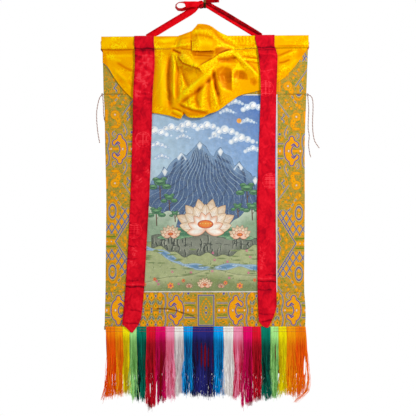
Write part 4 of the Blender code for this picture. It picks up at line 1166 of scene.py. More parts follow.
def creased(x, y):
    """How far the creases lift the cloth at each place, and the painted light and shade they give it."""
    lift, turn = np.zeros(x.shape), np.zeros(x.shape)
    for height, width, tone, *line in RIDGES:
        away, share, _ = along(x, y, line)
        near = ease(-0.05, FADE, share) * ease(-0.05, FADE, 1 - share) * bump(away, width)
        lift += height * near
        turn += tone * near
    for height, width, tone, *line in LAPS:
        away, share, side = along(x, y, line)
        held = ease(-0.05, FADE, share) * ease(-0.05, FADE, 1 - share)
        over = side > 0
        lift += height * held * np.where(over, np.exp(-away / width), bump(away, LAP_CLIFF))
        turn += held * np.where(over, tone * np.exp(-away / LAP_LIP), -1.3 * bump(away, LAP_SHADE))
    for tone, soft, *outline in PAINTED_TONE_PATCHES:
        turn += tone * ease(soft, -soft, polygon(x, y, outline))
    creaser = random.Random(CREASER_SEED)
    for gather in GATHERS:
        for _ in range(FINE_CREASES):
            angle = creaser.uniform(0, 2 * math.pi)
            near, far = sorted(creaser.uniform(0.1, 1.0) * gather.reach for _ in range(2))
            bend = creaser.uniform(-0.25, 0.25)
            ways = [(near, angle), ((near + far) / 2, angle + bend), (far + 16, angle)]
            line = [(gather.across + r * math.cos(a), gather.down + r * math.sin(a)) for r, a in ways]
            away, share, side = along(x, y, line)
            held = np.sin(np.pi * share)
            turn += gather.tone * held * (bump(away, 2.6) - 0.7 * side * np.exp(-away / 6))
            lift += 0.9 * held * bump(away, 3.4)
    for left, right in UNDER_BANDS:
        lift *= 1 - rise_and_fall(x, left - 14, left - 2, right + 2, right + 14)
    return lift * HEIGHTS_KEPT, np.clip(turn, -1.8, 1.3)


print("gathers", len(GATHERS), "with", FINE_CREASES, "fine creases each")

# %% Hang the curtain
SILK_STEP = 3.0
SLEEVE_FRONT, SILK_BEHIND = 21.9, 18.8
curtain_bm = rounded(cage_of("curtain"), 2)
refine(curtain_bm, SILK_STEP)
turn_back_edges(curtain_bm, 1.0)
curtain = piece("silk_curtain", curtain_bm, silk, "yellow_silk", "curtain")
across, down, forward = places(curtain.data)
lift, turn = creased(across, down)
# Left of this edge the curtain is tucked in behind the sleeve's front
tuck_edge = np.interp(down, (68, 88, 96, 101, 136), (-20, -37, -59, -76, -88))
tucked = (1 - ease(4, 17, across - tuck_edge)) * (across < 0) * rise_and_fall(down, 90, 99, 132, 142)
flattened = np.minimum(SLEEVE_FRONT - forward, 0)
push_forward(curtain.data, lift * (1 - tucked) + tucked * flattened, least=SILK_BEHIND)
# Each point keeps its painted light and shade, weaker where the curtain is tucked in
keep(curtain.data, "turned", turn * (1 - 0.7 * tucked))

# %% Sew the sleeve
# Its lower edge stands forward as a lip, and its right half is puckered by the seam
LIP_STANDS, LIP_FALLS = 3.2, 2.4
sleeve_bm = cage_of("top_sleeve", front_only=False)
refine(sleeve_bm, 4.0)
sleeve = piece("silk_sleeve", sleeve_bm, silk, "yellow_silk", "top_sleeve")
across, down, forward = places(sleeve.data)
facing = ease(15, 19, forward)
pucker = np.sin(across / 1.55 + 0.7 * np.sin(down / 4)) * rise_and_fall(across, 30, 60, 120, 165)
waves = 0.5 * np.sin(across / 23 + 0.8 * np.sin(down / 9)) + 0.4 * np.sin(across / 9.0 + down / 6)
lift, turn = creased(across, down)
lip = ease(124, 131, down + 0.0072 * across) * ease(16, 17, forward)
amounts = np.clip(0.45 * lift + 0.4 * pucker * (down < 118) + 0.5 * waves, -1.5, 3.0) * facing * (1 - lip)
push_forward(sleeve.data, amounts + LIP_STANDS * lip)
nudge(sleeve.data, down=LIP_FALLS * lip * ease(129, 133, down))
# On its front, its folds, puckers and waves are also painted as light and shade, a little lighter overall
keep(sleeve.data, "turned", (turn + 0.3 * pucker * (down < 122) + 0.25 * waves + 0.25) * facing)

# %% [markdown]
# ## Red bands
#
# The two bands are silk damask too, red on red: the figure, round medallions and leafy sprigs, is
# seen only because its threads lie the other way and shine. It is drawn along each band's own
# middle line, and the material makes it a little brighter and smoother than the ground.

# %% Weave the red damask
damask, damask_shader = start_material(
    "red_silk_damask",
    {
        "Roughness": 0.42,
        "Specular IOR Level": 0.2,
        "Specular Tint": linear("#FF8A8A"),
        "Sheen Weight": 0.08,
        "Sheen Tint": linear("#FF5060"),
    },
)
# Creases paint the silk in light or shade, the figure paints its shine, and a mottled painted sheen
# is added: below 0 darker and above 0 brighter
shine = ramp(damask, mottle(damask, 13, (1, 1, 0.7), detail=3, distortion=1.2), 0.36, 0.64, -0.35, 0.35)
red_painted_light = sum_of(damask, sum_of(damask, kept(damask, "turned"), kept(damask, "figure")), shine)
RED_SCALE = ((-1.5, "#5E0010"), (-0.7, "#A8001A"), (0.0, "#D60720"), (0.5, "#E81228"), (1.2, "#F63C48"))
connect(damask, scale_of(damask, red_painted_light, RED_SCALE), damask_shader)
connect(damask, ramp(damask, kept(damask, "figure"), 0, 0.6, 0.48, 0.32), damask_shader, "Roughness")
weave(damask, damask_shader, 1.5, 0.05)
print("red silk", len(RED_SCALE), "tones")

# %% Cut of the bands
# A crease: how far down, its slope, its tone as painted light or shade, and the part of the width
# that it crosses
BandCut = namedtuple("BandCut", "name node middle flat medallions creases")
BANDS = (
    BandCut(
        "red_band_left",
        "band_left",
        ((110, -169.7), (460, -178.3), (800, -195.2), (931, -205)),
        (0.056, 0.85),
        ((390.6, 4.0), (646, -10.0)),
        (
            (137, 0, -1.5, -30, 30), (142, 0, -0.7, -30, 30), (156, 0.1, 0.7, -30, 24),
            (176, 0.2, 0.6, -24, 10), (214, -0.2, 0.5, -26, 18), (258, 0.16, 0.8, -26, 26),
            (270, 0.05, 0.6, -22, 12), (560, 0, -1.2, -30, -14), (598, 0, -1.2, -30, -16),
            (628, 0.1, -1.2, -30, -10), (652, -0.1, -1, -24, -6), (690, 0.05, -1.1, -28, -4),
            (724, -0.05, -1, -28, 2), (786, 0.03, -1, -20, 8), (803, 0.02, -1.5, -30, 28),
            (796, 0.02, 0.9, -30, 28), (868, 0.2, -1, -10, 24), (905, 0.1, -1, -20, 20),
        ),
    ),
    BandCut(
        "red_band_right",
        "band_right",
        ((110, 168), (160, 177), (460, 174.5), (800, 174), (917, 174)),
        (0.055, 0.84),
        ((248, -6.0), (506, 8.0)),
        (
            (134, 0, -1.5, -30, 30), (140, 0, -0.8, -30, 30), (152, 0.1, 0.6, -30, 30),
            (198, -0.1, 0.6, -26, 20), (262, 0.1, 0.5, -20, 26), (770, 0, -1, -6, 28),
            (788, 0.02, -1.2, -28, 28), (780, 0.02, 0.8, -28, 20), (812, 0.05, -0.9, -28, 14),
            (880, 0.1, -0.8, -24, 24), (898, -0.1, -1.1, -16, 20),
        ),
    ),
)
print("creases", [len(band.creases) for band in BANDS])

# %% Draw the figure of the bands
MEDALLION_RADIUS = 21.0
SPRIGS_TOP, SPRIGS_FOOT = 172.0, 900.0


def medallion(a, b):
    """A round sign of upright and level bars in a ring."""
    ring = abs(disc(a, b, (0, 0), MEDALLION_RADIUS)) - 0.9
    bars = [abs(a) - 1.3, np.maximum(abs(abs(a) - 9) - 0.9, abs(b) - 11)]
    bars += [np.maximum(abs(abs(b) - reach) - 0.9, abs(a) - 15) for reach in (4, 9, 15)]
    return any_of([ring, within(any_of(bars), disc(a, b, (0, 0), MEDALLION_RADIUS - 2))])


def sprig(a, b, size, turn):
    """A bent stem with a round flower and three leaves."""
    x = (a * math.cos(turn) + b * math.sin(turn)) / size
    y = (b * math.cos(turn) - a * math.sin(turn)) / size
    parts = [
        (stroke, ((0, 1), (0.25, 0.4), (0, -0.2)), 1.5 / size),
        (petal, (0.2, 0.5), (-0.8, 0.1), 0.34),
        (petal, (0.2, 0.5), (0.8, 0.1), 0.34),
        (petal, (0.1, 0.9), (0.8, 0.8), 0.3),
    ]
    flower = within(blossom(x, y, (0, -0.5), 0.46, 5), -disc(x, y, (0, -0.5), 0.13))
    return np.minimum(drawn(x, y, parts), flower) * size


def figure_of(band, beside, down, dice):
    """How far each point lies in the band's medallions or sprigs."""
    signs = any_of(medallion(beside - off, down - at) for at, off in band.medallions)
    sprigs = []
    at = SPRIGS_TOP
    while at < SPRIGS_FOOT:
        if all(abs(at - sign) >= MEDALLION_RADIUS + 12 for sign, _ in band.medallions):
            off, turn = dice.uniform(-16, 16), dice.uniform(-1.2, 1.2)
            size = dice.uniform(9, 14)
            sprigs.append(sprig(beside - off, down - at, size, turn + math.pi * dice.randrange(2)))
        at += dice.uniform(20, 34)
    clear = 0.2 + 0.5 * np.maximum(np.sin(down / 37 + 1), 0)
    return np.maximum(1.1 * ease(0.45, -0.45, signs), 1.2 * clear * ease(0.45, -0.45, any_of(sprigs)))


print("a medallion is", 2 * MEDALLION_RADIUS, "mm across")

# %% Hang the bands
BAND_STEP = 2.4
WEAVER_SEED = 23
weaver = random.Random(WEAVER_SEED)
for band in BANDS:
    bm = rounded(cage_of(band.node, front_only=False), 2)
    slice_sheet(bm, BAND_STEP)
    strip = piece(band.name, bm, damask, "red_damask", band.node)
    across, down, forward = places(strip.data)
    downs, middles = zip(*band.middle)
    beside = across - np.interp(down, downs, middles)
    keep(strip.data, "figure", figure_of(band, beside, down, weaver))
    lift, turn = np.zeros(len(down)), np.zeros(len(down))
    # Each crease lifts the band a little, and its tone paints light or shade along it
    for crease_down, slope, tone, start, end in band.creases:
        away = down - crease_down - slope * beside + 1.2 * np.sin(beside / 6)
        reach = rise_and_fall(beside, start - 4, start + 4, end - 4, end + 4)
        lift += 0.8 * np.sign(tone) * bump(away, 3.4) * reach
        turn += tone * bump(away, 1.9) * reach
    waves = 0.35 * np.sin(down / 27 + beside / 14) + 0.25 * np.sin(down / 11 - beside / 9)
    # Painted light and shade: in waves, darker towards the edges, lighter high up, and painted shade just
    # below the sleeve's lip
    turn += 0.5 * waves - 0.5 * ease(21, 26, abs(beside)) + 0.25 * (1 - ease(96, 136, down))
    turn -= 0.25 * rise_and_fall(down, 136, 142, 150, 170)
    push_forward(strip.data, (lift + waves + 0.3) * ease(108, 125, down) * (1 - 0.6 * ease(860, 900, down)))
    if band.name == "red_band_left":
        # Below the sleeve its crinkles are painted as light and shade, and it bends to the right there
        crinkles = np.sin(beside / 4.1 + 1.5 * np.sin(down / 9)) * np.sin(down / 5.3 + beside / 13)
        turn += rise_and_fall(down, 140, 160, 215, 260) * (0.35 + 0.5 * crinkles)
        nudge(strip.data, 4.0 * bump(down - 176, 52) * ease(112, 145, down))
    keep(strip.data, "turned", turn)

# %% [markdown]
# ## Lining
#
# Plain red cotton covers the back, is sewn round the rod and ends below the brocade, so its tail
# shows between the threads of the fringe. Cotton is matt, and handling leaves it a little uneven.
# It hangs flat, so its solid needs only to be sliced finer, and its hems are darker lines.

# %% Line the back
cotton, cotton_shader = start_material("red_cotton_lining", {"Roughness": 0.85, "Specular IOR Level": 0.2})
worn = ramp(cotton, mottle(cotton, 30, detail=4), 0.35, 0.7)
plain = blend(cotton, worn, linear("#B80A1E"), linear("#D01428"))
sewn = ramp(cotton, kept(cotton, "hem"), 0.9, 0.0)
connect(cotton, blend(cotton, sewn, plain, linear("#7A0612")), cotton_shader)
weave(cotton, cotton_shader, 1.8, 0.1)
bm = rounded(cage_of("lining", front_only=False), 1)
slice_sheet(bm, 8)
HEM_MIDDLE, HEM_SIDE, HEM_TOP, HEM_FOOT = 1, 262, 172, 1030
back_cloth = piece("cotton_lining", bm, cotton, "red_lining", "lining")
across, down, _ = places(back_cloth.data)
hem_lines = [abs(abs(across - HEM_MIDDLE) - HEM_SIDE), abs(down - HEM_TOP), abs(down - HEM_FOOT)]
keep(back_cloth.data, "hem", any_of(hem_lines) - 2)

# %% Turn the lining out at the sleeve's ends
# A lip of the lining is folded round each end of the sleeve: its side, end, top and bottom
Lip = namedtuple("Lip", "name side end top bottom")
LIPS = (Lip("lining_lip_left", -1, -289.7, 116.0, 140.0), Lip("lining_lip_right", 1, 290.5, 119.0, 133.0))
LIP_DEPTH, LIP_OUT, LIP_TURN = 6.0, 2.1, 1.4
FAR_FROM_HEM = 5.0
for place in LIPS:
    bm = bmesh.new()
    bmesh.ops.create_grid(bm, x_segments=16, y_segments=12, size=0.5)
    for vert in bm.verts:
        turn, fall = 2 * vert.co.x * LIP_TURN, 0.5 - vert.co.y
        out = LIP_OUT * math.cos(turn) * (0.75 + 0.25 * math.sin(7 * fall + 0.5))
        down = place.top + fall * (place.bottom - place.top)
        vert.co = spot(place.end + place.side * out, down, 16.0 + LIP_DEPTH * math.sin(turn))
    cloth = piece(place.name, bm, cotton, "red_lining")
    keep(cloth.data, "hem", np.full(len(cloth.data.vertices), FAR_FROM_HEM))

# %% [markdown]
# ## Stave, rod and hook
#
# The stave and the rod are pale softwood, sawn and left bare, so their end grain and fine long
# grain show. The hook is a strip of brass that has dulled. Their solids have the right shapes and
# keep them, with better materials.

# %% Wood and brass
pine, pine_shader = start_material("bare_pine", {"Roughness": 0.62})
rings = ramp(pine, mottle(pine, 5, (0.05, 1, 1), detail=4, distortion=0.6), 0.35, 0.65)
connect(pine, blend(pine, rings, linear("#D8BE94"), linear("#B8935F")), pine_shader)
sockets = {"Height": mottle(pine, 0.8, (0.06, 1, 1)), "Distance": 0.1 * MM, "Strength": 0.5}
connect(pine, add(pine, "ShaderNodeBump", sockets).outputs[0], pine_shader, "Normal")

# The hook's low end, which the bow hides from the light, is painted in shade, nearly black
brass, brass_shader = start_material("dulled_brass", {"Metallic": 1.0})
tarnish = ramp(brass, mottle(brass, 4, detail=4), 0.4, 0.7)
here = add(brass, "ShaderNodeTexCoord").outputs["Object"]
height = add(brass, "ShaderNodeSeparateXYZ", {0: here}).outputs["Z"]
hook_shade = ramp(brass, height, -4 * MM, -9 * MM, 0.0, 0.9)
dull = blend(brass, tarnish, linear("#B08A48"), linear("#6A5232"))
connect(brass, blend(brass, hook_shade, dull, linear("#200C06")), brass_shader)
connect(brass, ramp(brass, tarnish, 0, 1, 0.32, 0.55), brass_shader, "Roughness")

for node, material in (("top_stave", pine), ("bottom_rod", pine), ("wall_hook", brass)):
    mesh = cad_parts[node].data
    mesh.materials.clear()
    mesh.materials.append(material)
print("solids that keep their shape: 3")

# %% [markdown]
# ## The hanging ribbon
#
# One red satin ribbon is sewn in behind the bands, goes up on both sides and is tied in a bow on
# the hook. Satin is smooth along its length, so it shines in long streaks, painted into its colour.
# The right arm is folded lengthwise, and its upper half leans out, with painted shade on it; the
# bow's shade is painted too. Both arms are pulled a little wider than their solids, and their feet
# spread, as the real ones are where they pass behind the bands.

# %% Dye the satin
satin, satin_shader = start_material(
    "red_satin_ribbon",
    {"Roughness": 0.3, "Specular IOR Level": 0.35, "Specular Tint": linear("#FF7070")},
)
# Long streaks of painted shine, added to each piece's painted light and shade, give the colour
streaks = ramp(satin, mottle(satin, 9, (1, 1, 1.8), detail=2), 0.38, 0.66, -0.25, 0.3)
satin_painted_light = sum_of(satin, kept(satin, "turned"), streaks)
SATIN_SCALE = ((-1.6, "#3E0004"), (-0.8, "#84000A"), (0.0, "#D4000F"), (0.7, "#F00C1C"))
connect(satin, scale_of(satin, satin_painted_light, SATIN_SCALE), satin_shader)
weave(satin, satin_shader, 1.2, 0.05)
print("satin", len(SATIN_SCALE), "tones")

# %% Hang the arms and tie the bow
# An arm's fold lies this far above its middle line, and its upper half leans by a share from there
WIDENED = 0.12  # of its width
Arm = namedtuple("Arm", "node flat foot head fold lean shade spread")
ARMS = (
    Arm("ribbon_left", (0.02, 0.166), (-154.6, 104.4), (-18, 16), 5.0, -0.25, 0.3, -6.4),
    Arm("ribbon_right", (0.02, 0.182), (149.8, 102.4), (0, 8), 0.4, 0.55, 0.78, 7.0),
)
for arm in ARMS:
    bm = rounded(cage_of(arm.node, front_only=False), 2)
    refine(bm, 3.0)
    strip = piece("satin_" + arm.node, bm, satin, "red_satin", arm.node)
    across, down, _ = places(strip.data)
    run, rise = arm.head[0] - arm.foot[0], arm.foot[1] - arm.head[1]
    level, steep = abs(run) / math.hypot(run, rise), rise * np.sign(run) / math.hypot(run, rise)
    # How far each point lies above the arm's middle line
    above = (arm.foot[0] - across) * steep + (arm.foot[1] - down) * level
    leaning = np.maximum(above - arm.fold, 0) * arm.lean + 0.4 * np.sin(above * 0.9)
    push_forward(strip.data, leaning * rise_and_fall(down, 4, 40, 86, 104))
    # Painted shade on the upper half, darkest just above the fold, with waves of painted light and shade
    in_shade = ease(arm.fold - 0.6, arm.fold + 0.8, above) + 1.3 * bump(above - arm.fold - 1.4, 1.3)
    in_shade += 0.25 * np.sin(down / 6.0 + across / 11)
    keep(strip.data, "turned", 0.3 - arm.shade * in_shade)
    wider = WIDENED * above * rise_and_fall(down, 12, 30, 94, 102)
    nudge(strip.data, arm.spread * ease(14, 105, down) - steep * wider, -level * wider)

# Each bow part has a tone and a share of painted shade on its lower and back parts; the tail is painted
# darker as a whole
Loop = namedtuple("Loop", "node flat tone shade")
for loop in (Loop("bow_loop", (0.014, 0.17), 0.3, 0.35), Loop("bow_tail", (0.016, 0.044), -0.6, 0.6)):
    bm = rounded(cage_of(loop.node, front_only=False), 3)
    strip = piece("satin_" + loop.node, bm, satin, "red_satin", loop.node)
    across, down, forward = places(strip.data)
    in_shade = ease(3, 22, down + 0.1 * across) + 0.5 * ease(10, 3, forward)
    keep(strip.data, "turned", loop.tone - loop.shade * in_shade)
    if loop.node == "bow_loop":
        loop_front = forward[(across > -58) & (across < -20)].max()
        nudge(strip.data, -3.2 * ease(-56, -74, across))

# %% Press the ribbon's end flat, and swell the knot
# The ribbon's other end lies pressed flat over the loop, from the knot to its cut
bm = bmesh.new()
bmesh.ops.create_grid(bm, x_segments=16, y_segments=8, size=0.5)
for vert in bm.verts:
    run, fall = vert.co.x + 0.5, 0.5 - vert.co.y
    cut, tucked = -58.6 + 5.4 * fall, -13.0 - 3.0 * fall
    top, bottom = 3.4 + 0.4 * run, 21.8 - 3.4 * run
    bulge = 0.7 + 0.8 * math.sin(math.pi * fall) * (1 - 0.5 * run)
    vert.co = spot(cut + (tucked - cut) * run, top + (bottom - top) * fall, loop_front + bulge)
bow_end = piece("satin_bow_end", bm, satin, "red_satin")
across, down, _ = places(bow_end.data)
# Painted shade towards the cut and along the lower edge, with small painted folds
in_shade = 0.5 * ease(-52, -58, across) + 0.4 * ease(17, 21, down)
keep(bow_end.data, "turned", 0.35 - in_shade + 0.15 * np.sin(across / 5))

# The knot swells over the ribbon on both sides of it
KNOT_SWELL = 1.45
bm = rounded(cage_of("bow_knot", front_only=False), 3)
middle = sum(vert.co.x for vert in bm.verts) / len(bm.verts)
for vert in bm.verts:
    vert.co.x = middle + (vert.co.x - middle) * KNOT_SWELL
knot = piece("satin_bow_knot", bm, satin, "red_satin", "bow_knot")
across, down, _ = places(knot.data)
# Its folds are lifted a little and painted as light and shade, and its lower part is painted in shade
folds = np.sin((down + 0.6 * across) / 1.4)
push_forward(knot.data, 0.5 * folds)
keep(knot.data, "turned", 0.2 + 0.4 * folds - 0.9 * ease(7, 14, down))

# %% [markdown]
# ## Side ties
#
# At the canvas's upper corners hang thin cords, each two plies of matt cotton twisted round each
# other, one brown and one pale. A round tube with drawn stripes would look painted up close, so each
# ply is a tube of its own that spirals about the cord's line.

# %% Routes of the ties
# Each place is so many millimetres across, down and forward
TIES = {
    "tie_left_outer": (
        (-289.3, 267, 16.1), (-294.4, 274, 16.8), (-299, 290, 17.4), (-302.6, 314, 17.6),
        (-302.4, 340, 17.2), (-300.2, 365, 16.8), (-297.2, 385, 17), (-294.3, 400, 17.4),
    ),
    "tie_left_inner": (
        (-286.1, 267.7, 16.1), (-285, 280, 16.8), (-284, 296, 16.6), (-283.6, 314, 15.6), (-282, 332, 12.6),
        (-278, 346, 11),
    ),
    "tie_right_outer": (
        (291.1, 266, 16.1), (295.8, 268.2, 16.7), (300.6, 275, 17.4), (303, 290, 17.8), (302.8, 314, 17.6),
        (301.8, 340, 17.2), (303, 370, 16.8), (308, 395, 17.2), (320.4, 414.6, 17.8),
    ),
    "tie_right_inner": (
        (288.4, 268, 16.1), (289.6, 284, 16.8), (291, 306, 17.2), (290, 331, 17), (289.6, 360, 16.8),
        (292.4, 380, 17), (290.6, 404, 17.2), (293.6, 428, 17), (297, 440, 16.8),
    ),
}
PLY_RADIUS = 0.85
PLY_OUT = 0.72  # from the cord's line to a ply's own
TWIST_PITCH = 9.0
PLY_SIDES = 6
ROUTE_STEP = 1.2


def smooth_route(ways, step):
    """Points every few millimetres on a smooth curve through the route's own points."""
    points = [spot(*way) for way in ways]
    padded = [points[0] * 2 - points[1], *points, points[-1] * 2 - points[-2]]
    route = [points[0]]
    for before, start, end, after in zip(padded, padded[1:], padded[2:], padded[3:]):
        steps = max(1, round((end - start).length / (step * MM)))
        for index in range(1, steps + 1):
            t = index / steps
            bend = 2 * before - 5 * start + 4 * end - after
            turn = 3 * start - before - 3 * end + after
            route.append(0.5 * (2 * start + (end - before) * t + bend * t * t + turn * t**3))
    return route


def ply(bm, route, start_angle):
    """Adds one ply: a grid wrapped into a tube that winds about the route."""
    rows = len(route) - 1
    made = bmesh.ops.create_grid(bm, x_segments=PLY_SIDES, y_segments=rows, size=0.5)["verts"]
    front = Vector((0, -1, 0))
    for vert in made:
        row = round((vert.co.y + 0.5) * rows)
        round_it = (vert.co.x + 0.5) * 2 * math.pi
        tangent = (route[min(row + 1, rows)] - route[max(row - 1, 0)]).normalized()
        side = tangent.cross(front).normalized()
        out = side.cross(tangent)
        wind = start_angle + 2 * math.pi * row * ROUTE_STEP / TWIST_PITCH
        core = route[row] + (side * math.cos(wind) + out * math.sin(wind)) * PLY_OUT * MM
        vert.co = core + (side * math.cos(round_it) + out * math.sin(round_it)) * PLY_RADIUS * MM
    return made

# %% Twist the ties
brown_ply = mottled("brown_cotton_ply", 0.85, 3, "#7A4238", "#A0685C")
pale_ply = mottled("pale_cotton_ply", 0.85, 3, "#C8B0A4", "#EADCD0")


def twisted(name, node, route):
    """A two-ply cord along a route."""
    bm = bmesh.new()
    for index in (0, 1):
        made = ply(bm, route, index * math.pi)
        for face in {face for vert in made for face in vert.link_faces}:
            face.material_index = index
    bmesh.ops.remove_doubles(bm, verts=bm.verts, dist=0.002 * MM)
    bmesh.ops.holes_fill(bm, edges=[edge for edge in bm.edges if edge.is_boundary], sides=PLY_SIDES)
    bmesh.ops.recalc_face_normals(bm, faces=bm.faces)
    cord = piece(name, bm, brown_ply, "twisted_cord", node)
    cord.data.materials.append(pale_ply)
    return cord


for node, ways in TIES.items():
    route = smooth_route(ways, ROUTE_STEP)
    tie = twisted("twisted_" + node, node, route)

# Each knot winds about its middle as a trefoil
for node, middle in (("knot_left", (-287.2, 264.3, 16.0)), ("knot_right", (288.0, 264.6, 16.0))):
    winding = []
    for step in range(49):
        t = 2 * math.pi * step / 48
        swell = 1.5 + 0.75 * math.cos(3 * t)
        off = Vector((swell * math.cos(2 * t), 0.8 * math.sin(3 * t), swell * math.sin(2 * t)))
        winding.append(spot(*middle) + off * MM)
    twisted("tied_" + node, node, winding)

# %% [markdown]
# ## Fringe
#
# The fringe is embroidery silk, bound in bundles of one colour under a row of stitching. A real
# bundle has hundreds of threads finer than the picture can show, so each is drawn about 1 mm
# thick. Every thread is a strip of a grid wrapped into a three-sided tube. Threads lie in five
# layers, gather into locks towards their tips, wander a little, and part where the lining shows.

# %% The threads' dyes, tips and partings
# Each dye from its deepest painted shade to its brightest painted light: the threads are painted
# bright where they bulge over the seam
Dye = namedtuple("Dye", "deep bright")
DYES = {
    "orange": Dye("#F03C00", "#FF8A00"),
    "amber": Dye("#EE6400", "#FFB000"),
    "yellow": Dye("#CCAC00", "#FFF400"),
    "light_green": Dye("#529438", "#B4F496"),
    "teal": Dye("#001814", "#00846C"),
    "crimson": Dye("#780006", "#EC1430"),
    "magenta": Dye("#860008", "#F80074"),
    "pink": Dye("#D40A46", "#FFA0C4"),
    "white": Dye("#CABAC0", "#FFFEFA"),
    "sky_blue": Dye("#00165E", "#00B0FF"),
    "navy": Dye("#180408", "#2C308A"),
}
COLOURS = tuple(DYES)
ORDER = COLOURS + COLOURS[-2::-1]
RIGHT_EDGES = (-250.6, -230.4, -211.1, -190.7, -164.1, -137.2, -110.3, -84.6, -59.9, -33.9, 24.1)
RIGHT_EDGES += (51.8, 79.8, 106.4, 131.9, 157.4, 182.6, 206.1, 227.6, 253.4, 282.2)
TIPS = (1110, 1104, 1100, 1112, 1122, 1140, 1126, 1116, 1108, 1106, 1112)
TIPS += (1106, 1108, 1114, 1132, 1120, 1112, 1114, 1100, 1106, 1104)
FRINGE_LEFT, FRINGE_RIGHT, FRINGE_TOP = -278.6, 282.2, 914.3
THREAD_WIDTH = 1.0
THREADS_EACH_MM = 6.0
THREAD_STEPS = 14
LAYERS = 5
LOCK_WIDTH = 3.8
LONG_SHARE, LONGER = 0.05, 9
# A parting, with half its width and the shares of the fall between which it is open
Parting = namedtuple("Parting", "across half start end")
PARTINGS = (
    Parting(-9.5, 2.4, 0.2, 0.7),
    Parting(0.5, 3.4, 0.2, 0.72),
    Parting(9.6, 2.2, 0.24, 0.68),
    Parting(-20, 1.0, 0.15, 0.6),
    Parting(22, 1.2, 0.2, 0.7),
    Parting(-134.5, 1.7, 0.66, 1.15),
    Parting(-152, 1.2, 0.66, 0.9),
    Parting(-172, 0.9, 0.3, 0.7),
    Parting(197.7, 1.6, 0.22, 0.55),
    Parting(206, 2.2, 0.58, 0.86),
    Parting(275.5, 2.8, 0.44, 0.8),
    Parting(66, 1.0, 0.6, 0.9),
)
# The feet of the red bands lie over the fringe's head: left, right and lowest
BAND_FEET = ((-236, -176, 931), (146, 196, 918))
# Threads between two places that strayed from the rest: how much longer, and where they swing
Stray = namedtuple("Stray", "left right longer shares asides")
STRAYS = (
    Stray(277.6, 283, 27, (0.3, 0.55, 0.72, 0.86, 1.0), (0, 2.5, 6.0, 3.0, -30)),
    Stray(268, 270.5, 12, (0.7, 0.85, 1.0), (0, -2, -12)),
    Stray(-279, -276.8, 10, (0.7, 0.88, 1.0), (0, -1, -6)),
)
print("partings", len(PARTINGS), "strays", len(STRAYS))

# %% Dye the threads
threads = {}
for colour, dye in DYES.items():
    sheen = {"Roughness": 0.45, "Specular IOR Level": 0.08}
    material, shader = start_material("silk_thread_" + colour, sheen)
    # Each thread's tone carries its painted light and shade, with its own tone
    shade = blend(material, kept(material, "tone"), linear(dye.deep), linear(dye.bright))
    connect(material, shade, shader)
    threads[colour] = material
print("dyes", len(threads))

# %% How the threads gather, sway and shine
Thread = namedtuple("Thread", "across length lock wander phase layer tone")
Lock = namedtuple("Lock", "across longer tone wander phase forward")


def threads_of(left, right, tips, dice):
    """Where each thread of a bundle hangs, and how."""
    count = round((right - left) * THREADS_EACH_MM)
    middles = [dice.uniform(left, right) for _ in range(max(4, round((right - left) / LOCK_WIDTH)))]
    locks = []
    for middle in middles + [left - 1.2, right + 1.2]:
        swing = dice.gauss(0, 2.2), dice.uniform(0, 6.3), dice.gauss(0, 1.0)
        locks.append(Lock(middle, dice.gauss(0, 4.5), dice.gauss(0, 0.38), *swing))
    found = []
    for index in range(count):
        across = left + 0.2 + (right - left - 0.4) * (index + dice.random()) / count
        lock = min(locks, key=lambda one: abs(one.across - across + dice.gauss(0, 1.5)))
        length = tips - FRINGE_TOP + lock.longer - abs(dice.gauss(0, 5))
        length += LONGER * (dice.random() > 1 - LONG_SHARE)
        for stray in STRAYS:
            length += stray.longer * (stray.left < across < stray.right)
        wander, phase = dice.gauss(0, 3.6), dice.uniform(0, 6.3)
        found.append(Thread(across, length, lock, wander, phase, dice.randrange(LAYERS), dice.random()))
    return found


def sway(across, share):
    """How far the strands hang aside at a share of their fall, and how near they are to a parting."""
    edge = (across - FRINGE_LEFT) / (FRINGE_RIGHT - FRINGE_LEFT)
    outer = (5.0 * math.exp(-edge * 12) + 4.0 * math.exp((edge - 1) * 12)) * math.sin(math.pi * share)
    aside = outer + 1.4 * share * math.sin(across / 19.0) + 0.8 * math.sin(6 * share + across / 9)
    parted = 0.0
    for parting in PARTINGS:
        passed = (share - parting.start) / (parting.end - parting.start)
        away = across - parting.across
        opened = min(1.5 * math.sin(math.pi * min(max(passed, 0), 1)), 1)
        aside += math.copysign(parting.half, away) * math.exp(-abs(away) / 4) * opened
        parted += math.exp(-((away / 5) ** 2)) * opened
    for stray in STRAYS:
        if stray.left < across < stray.right:
            aside += np.interp(share, stray.shares, stray.asides)
    return aside, min(parted, 1)


def painted_brightness(share, across):
    """Painted light over the seam, painted shade where the threads hang back, and brighter painted light
    again at the tips.
    """
    later = 0.05 + 0.05 * ease(-60, 240, across)
    return 1.0 - 0.66 * ease(later, later + 0.19, share) + 0.26 * ease(0.6, 1.0, share)


print("bundles", len(ORDER))

# %% Hang the threads
BUNDLE_GAP = 0.6
THREAD_SIDES = 3
LAYER_STEP = 0.7
HEAD_FORWARD, HEAD_BULGE = 17.0, 3.2


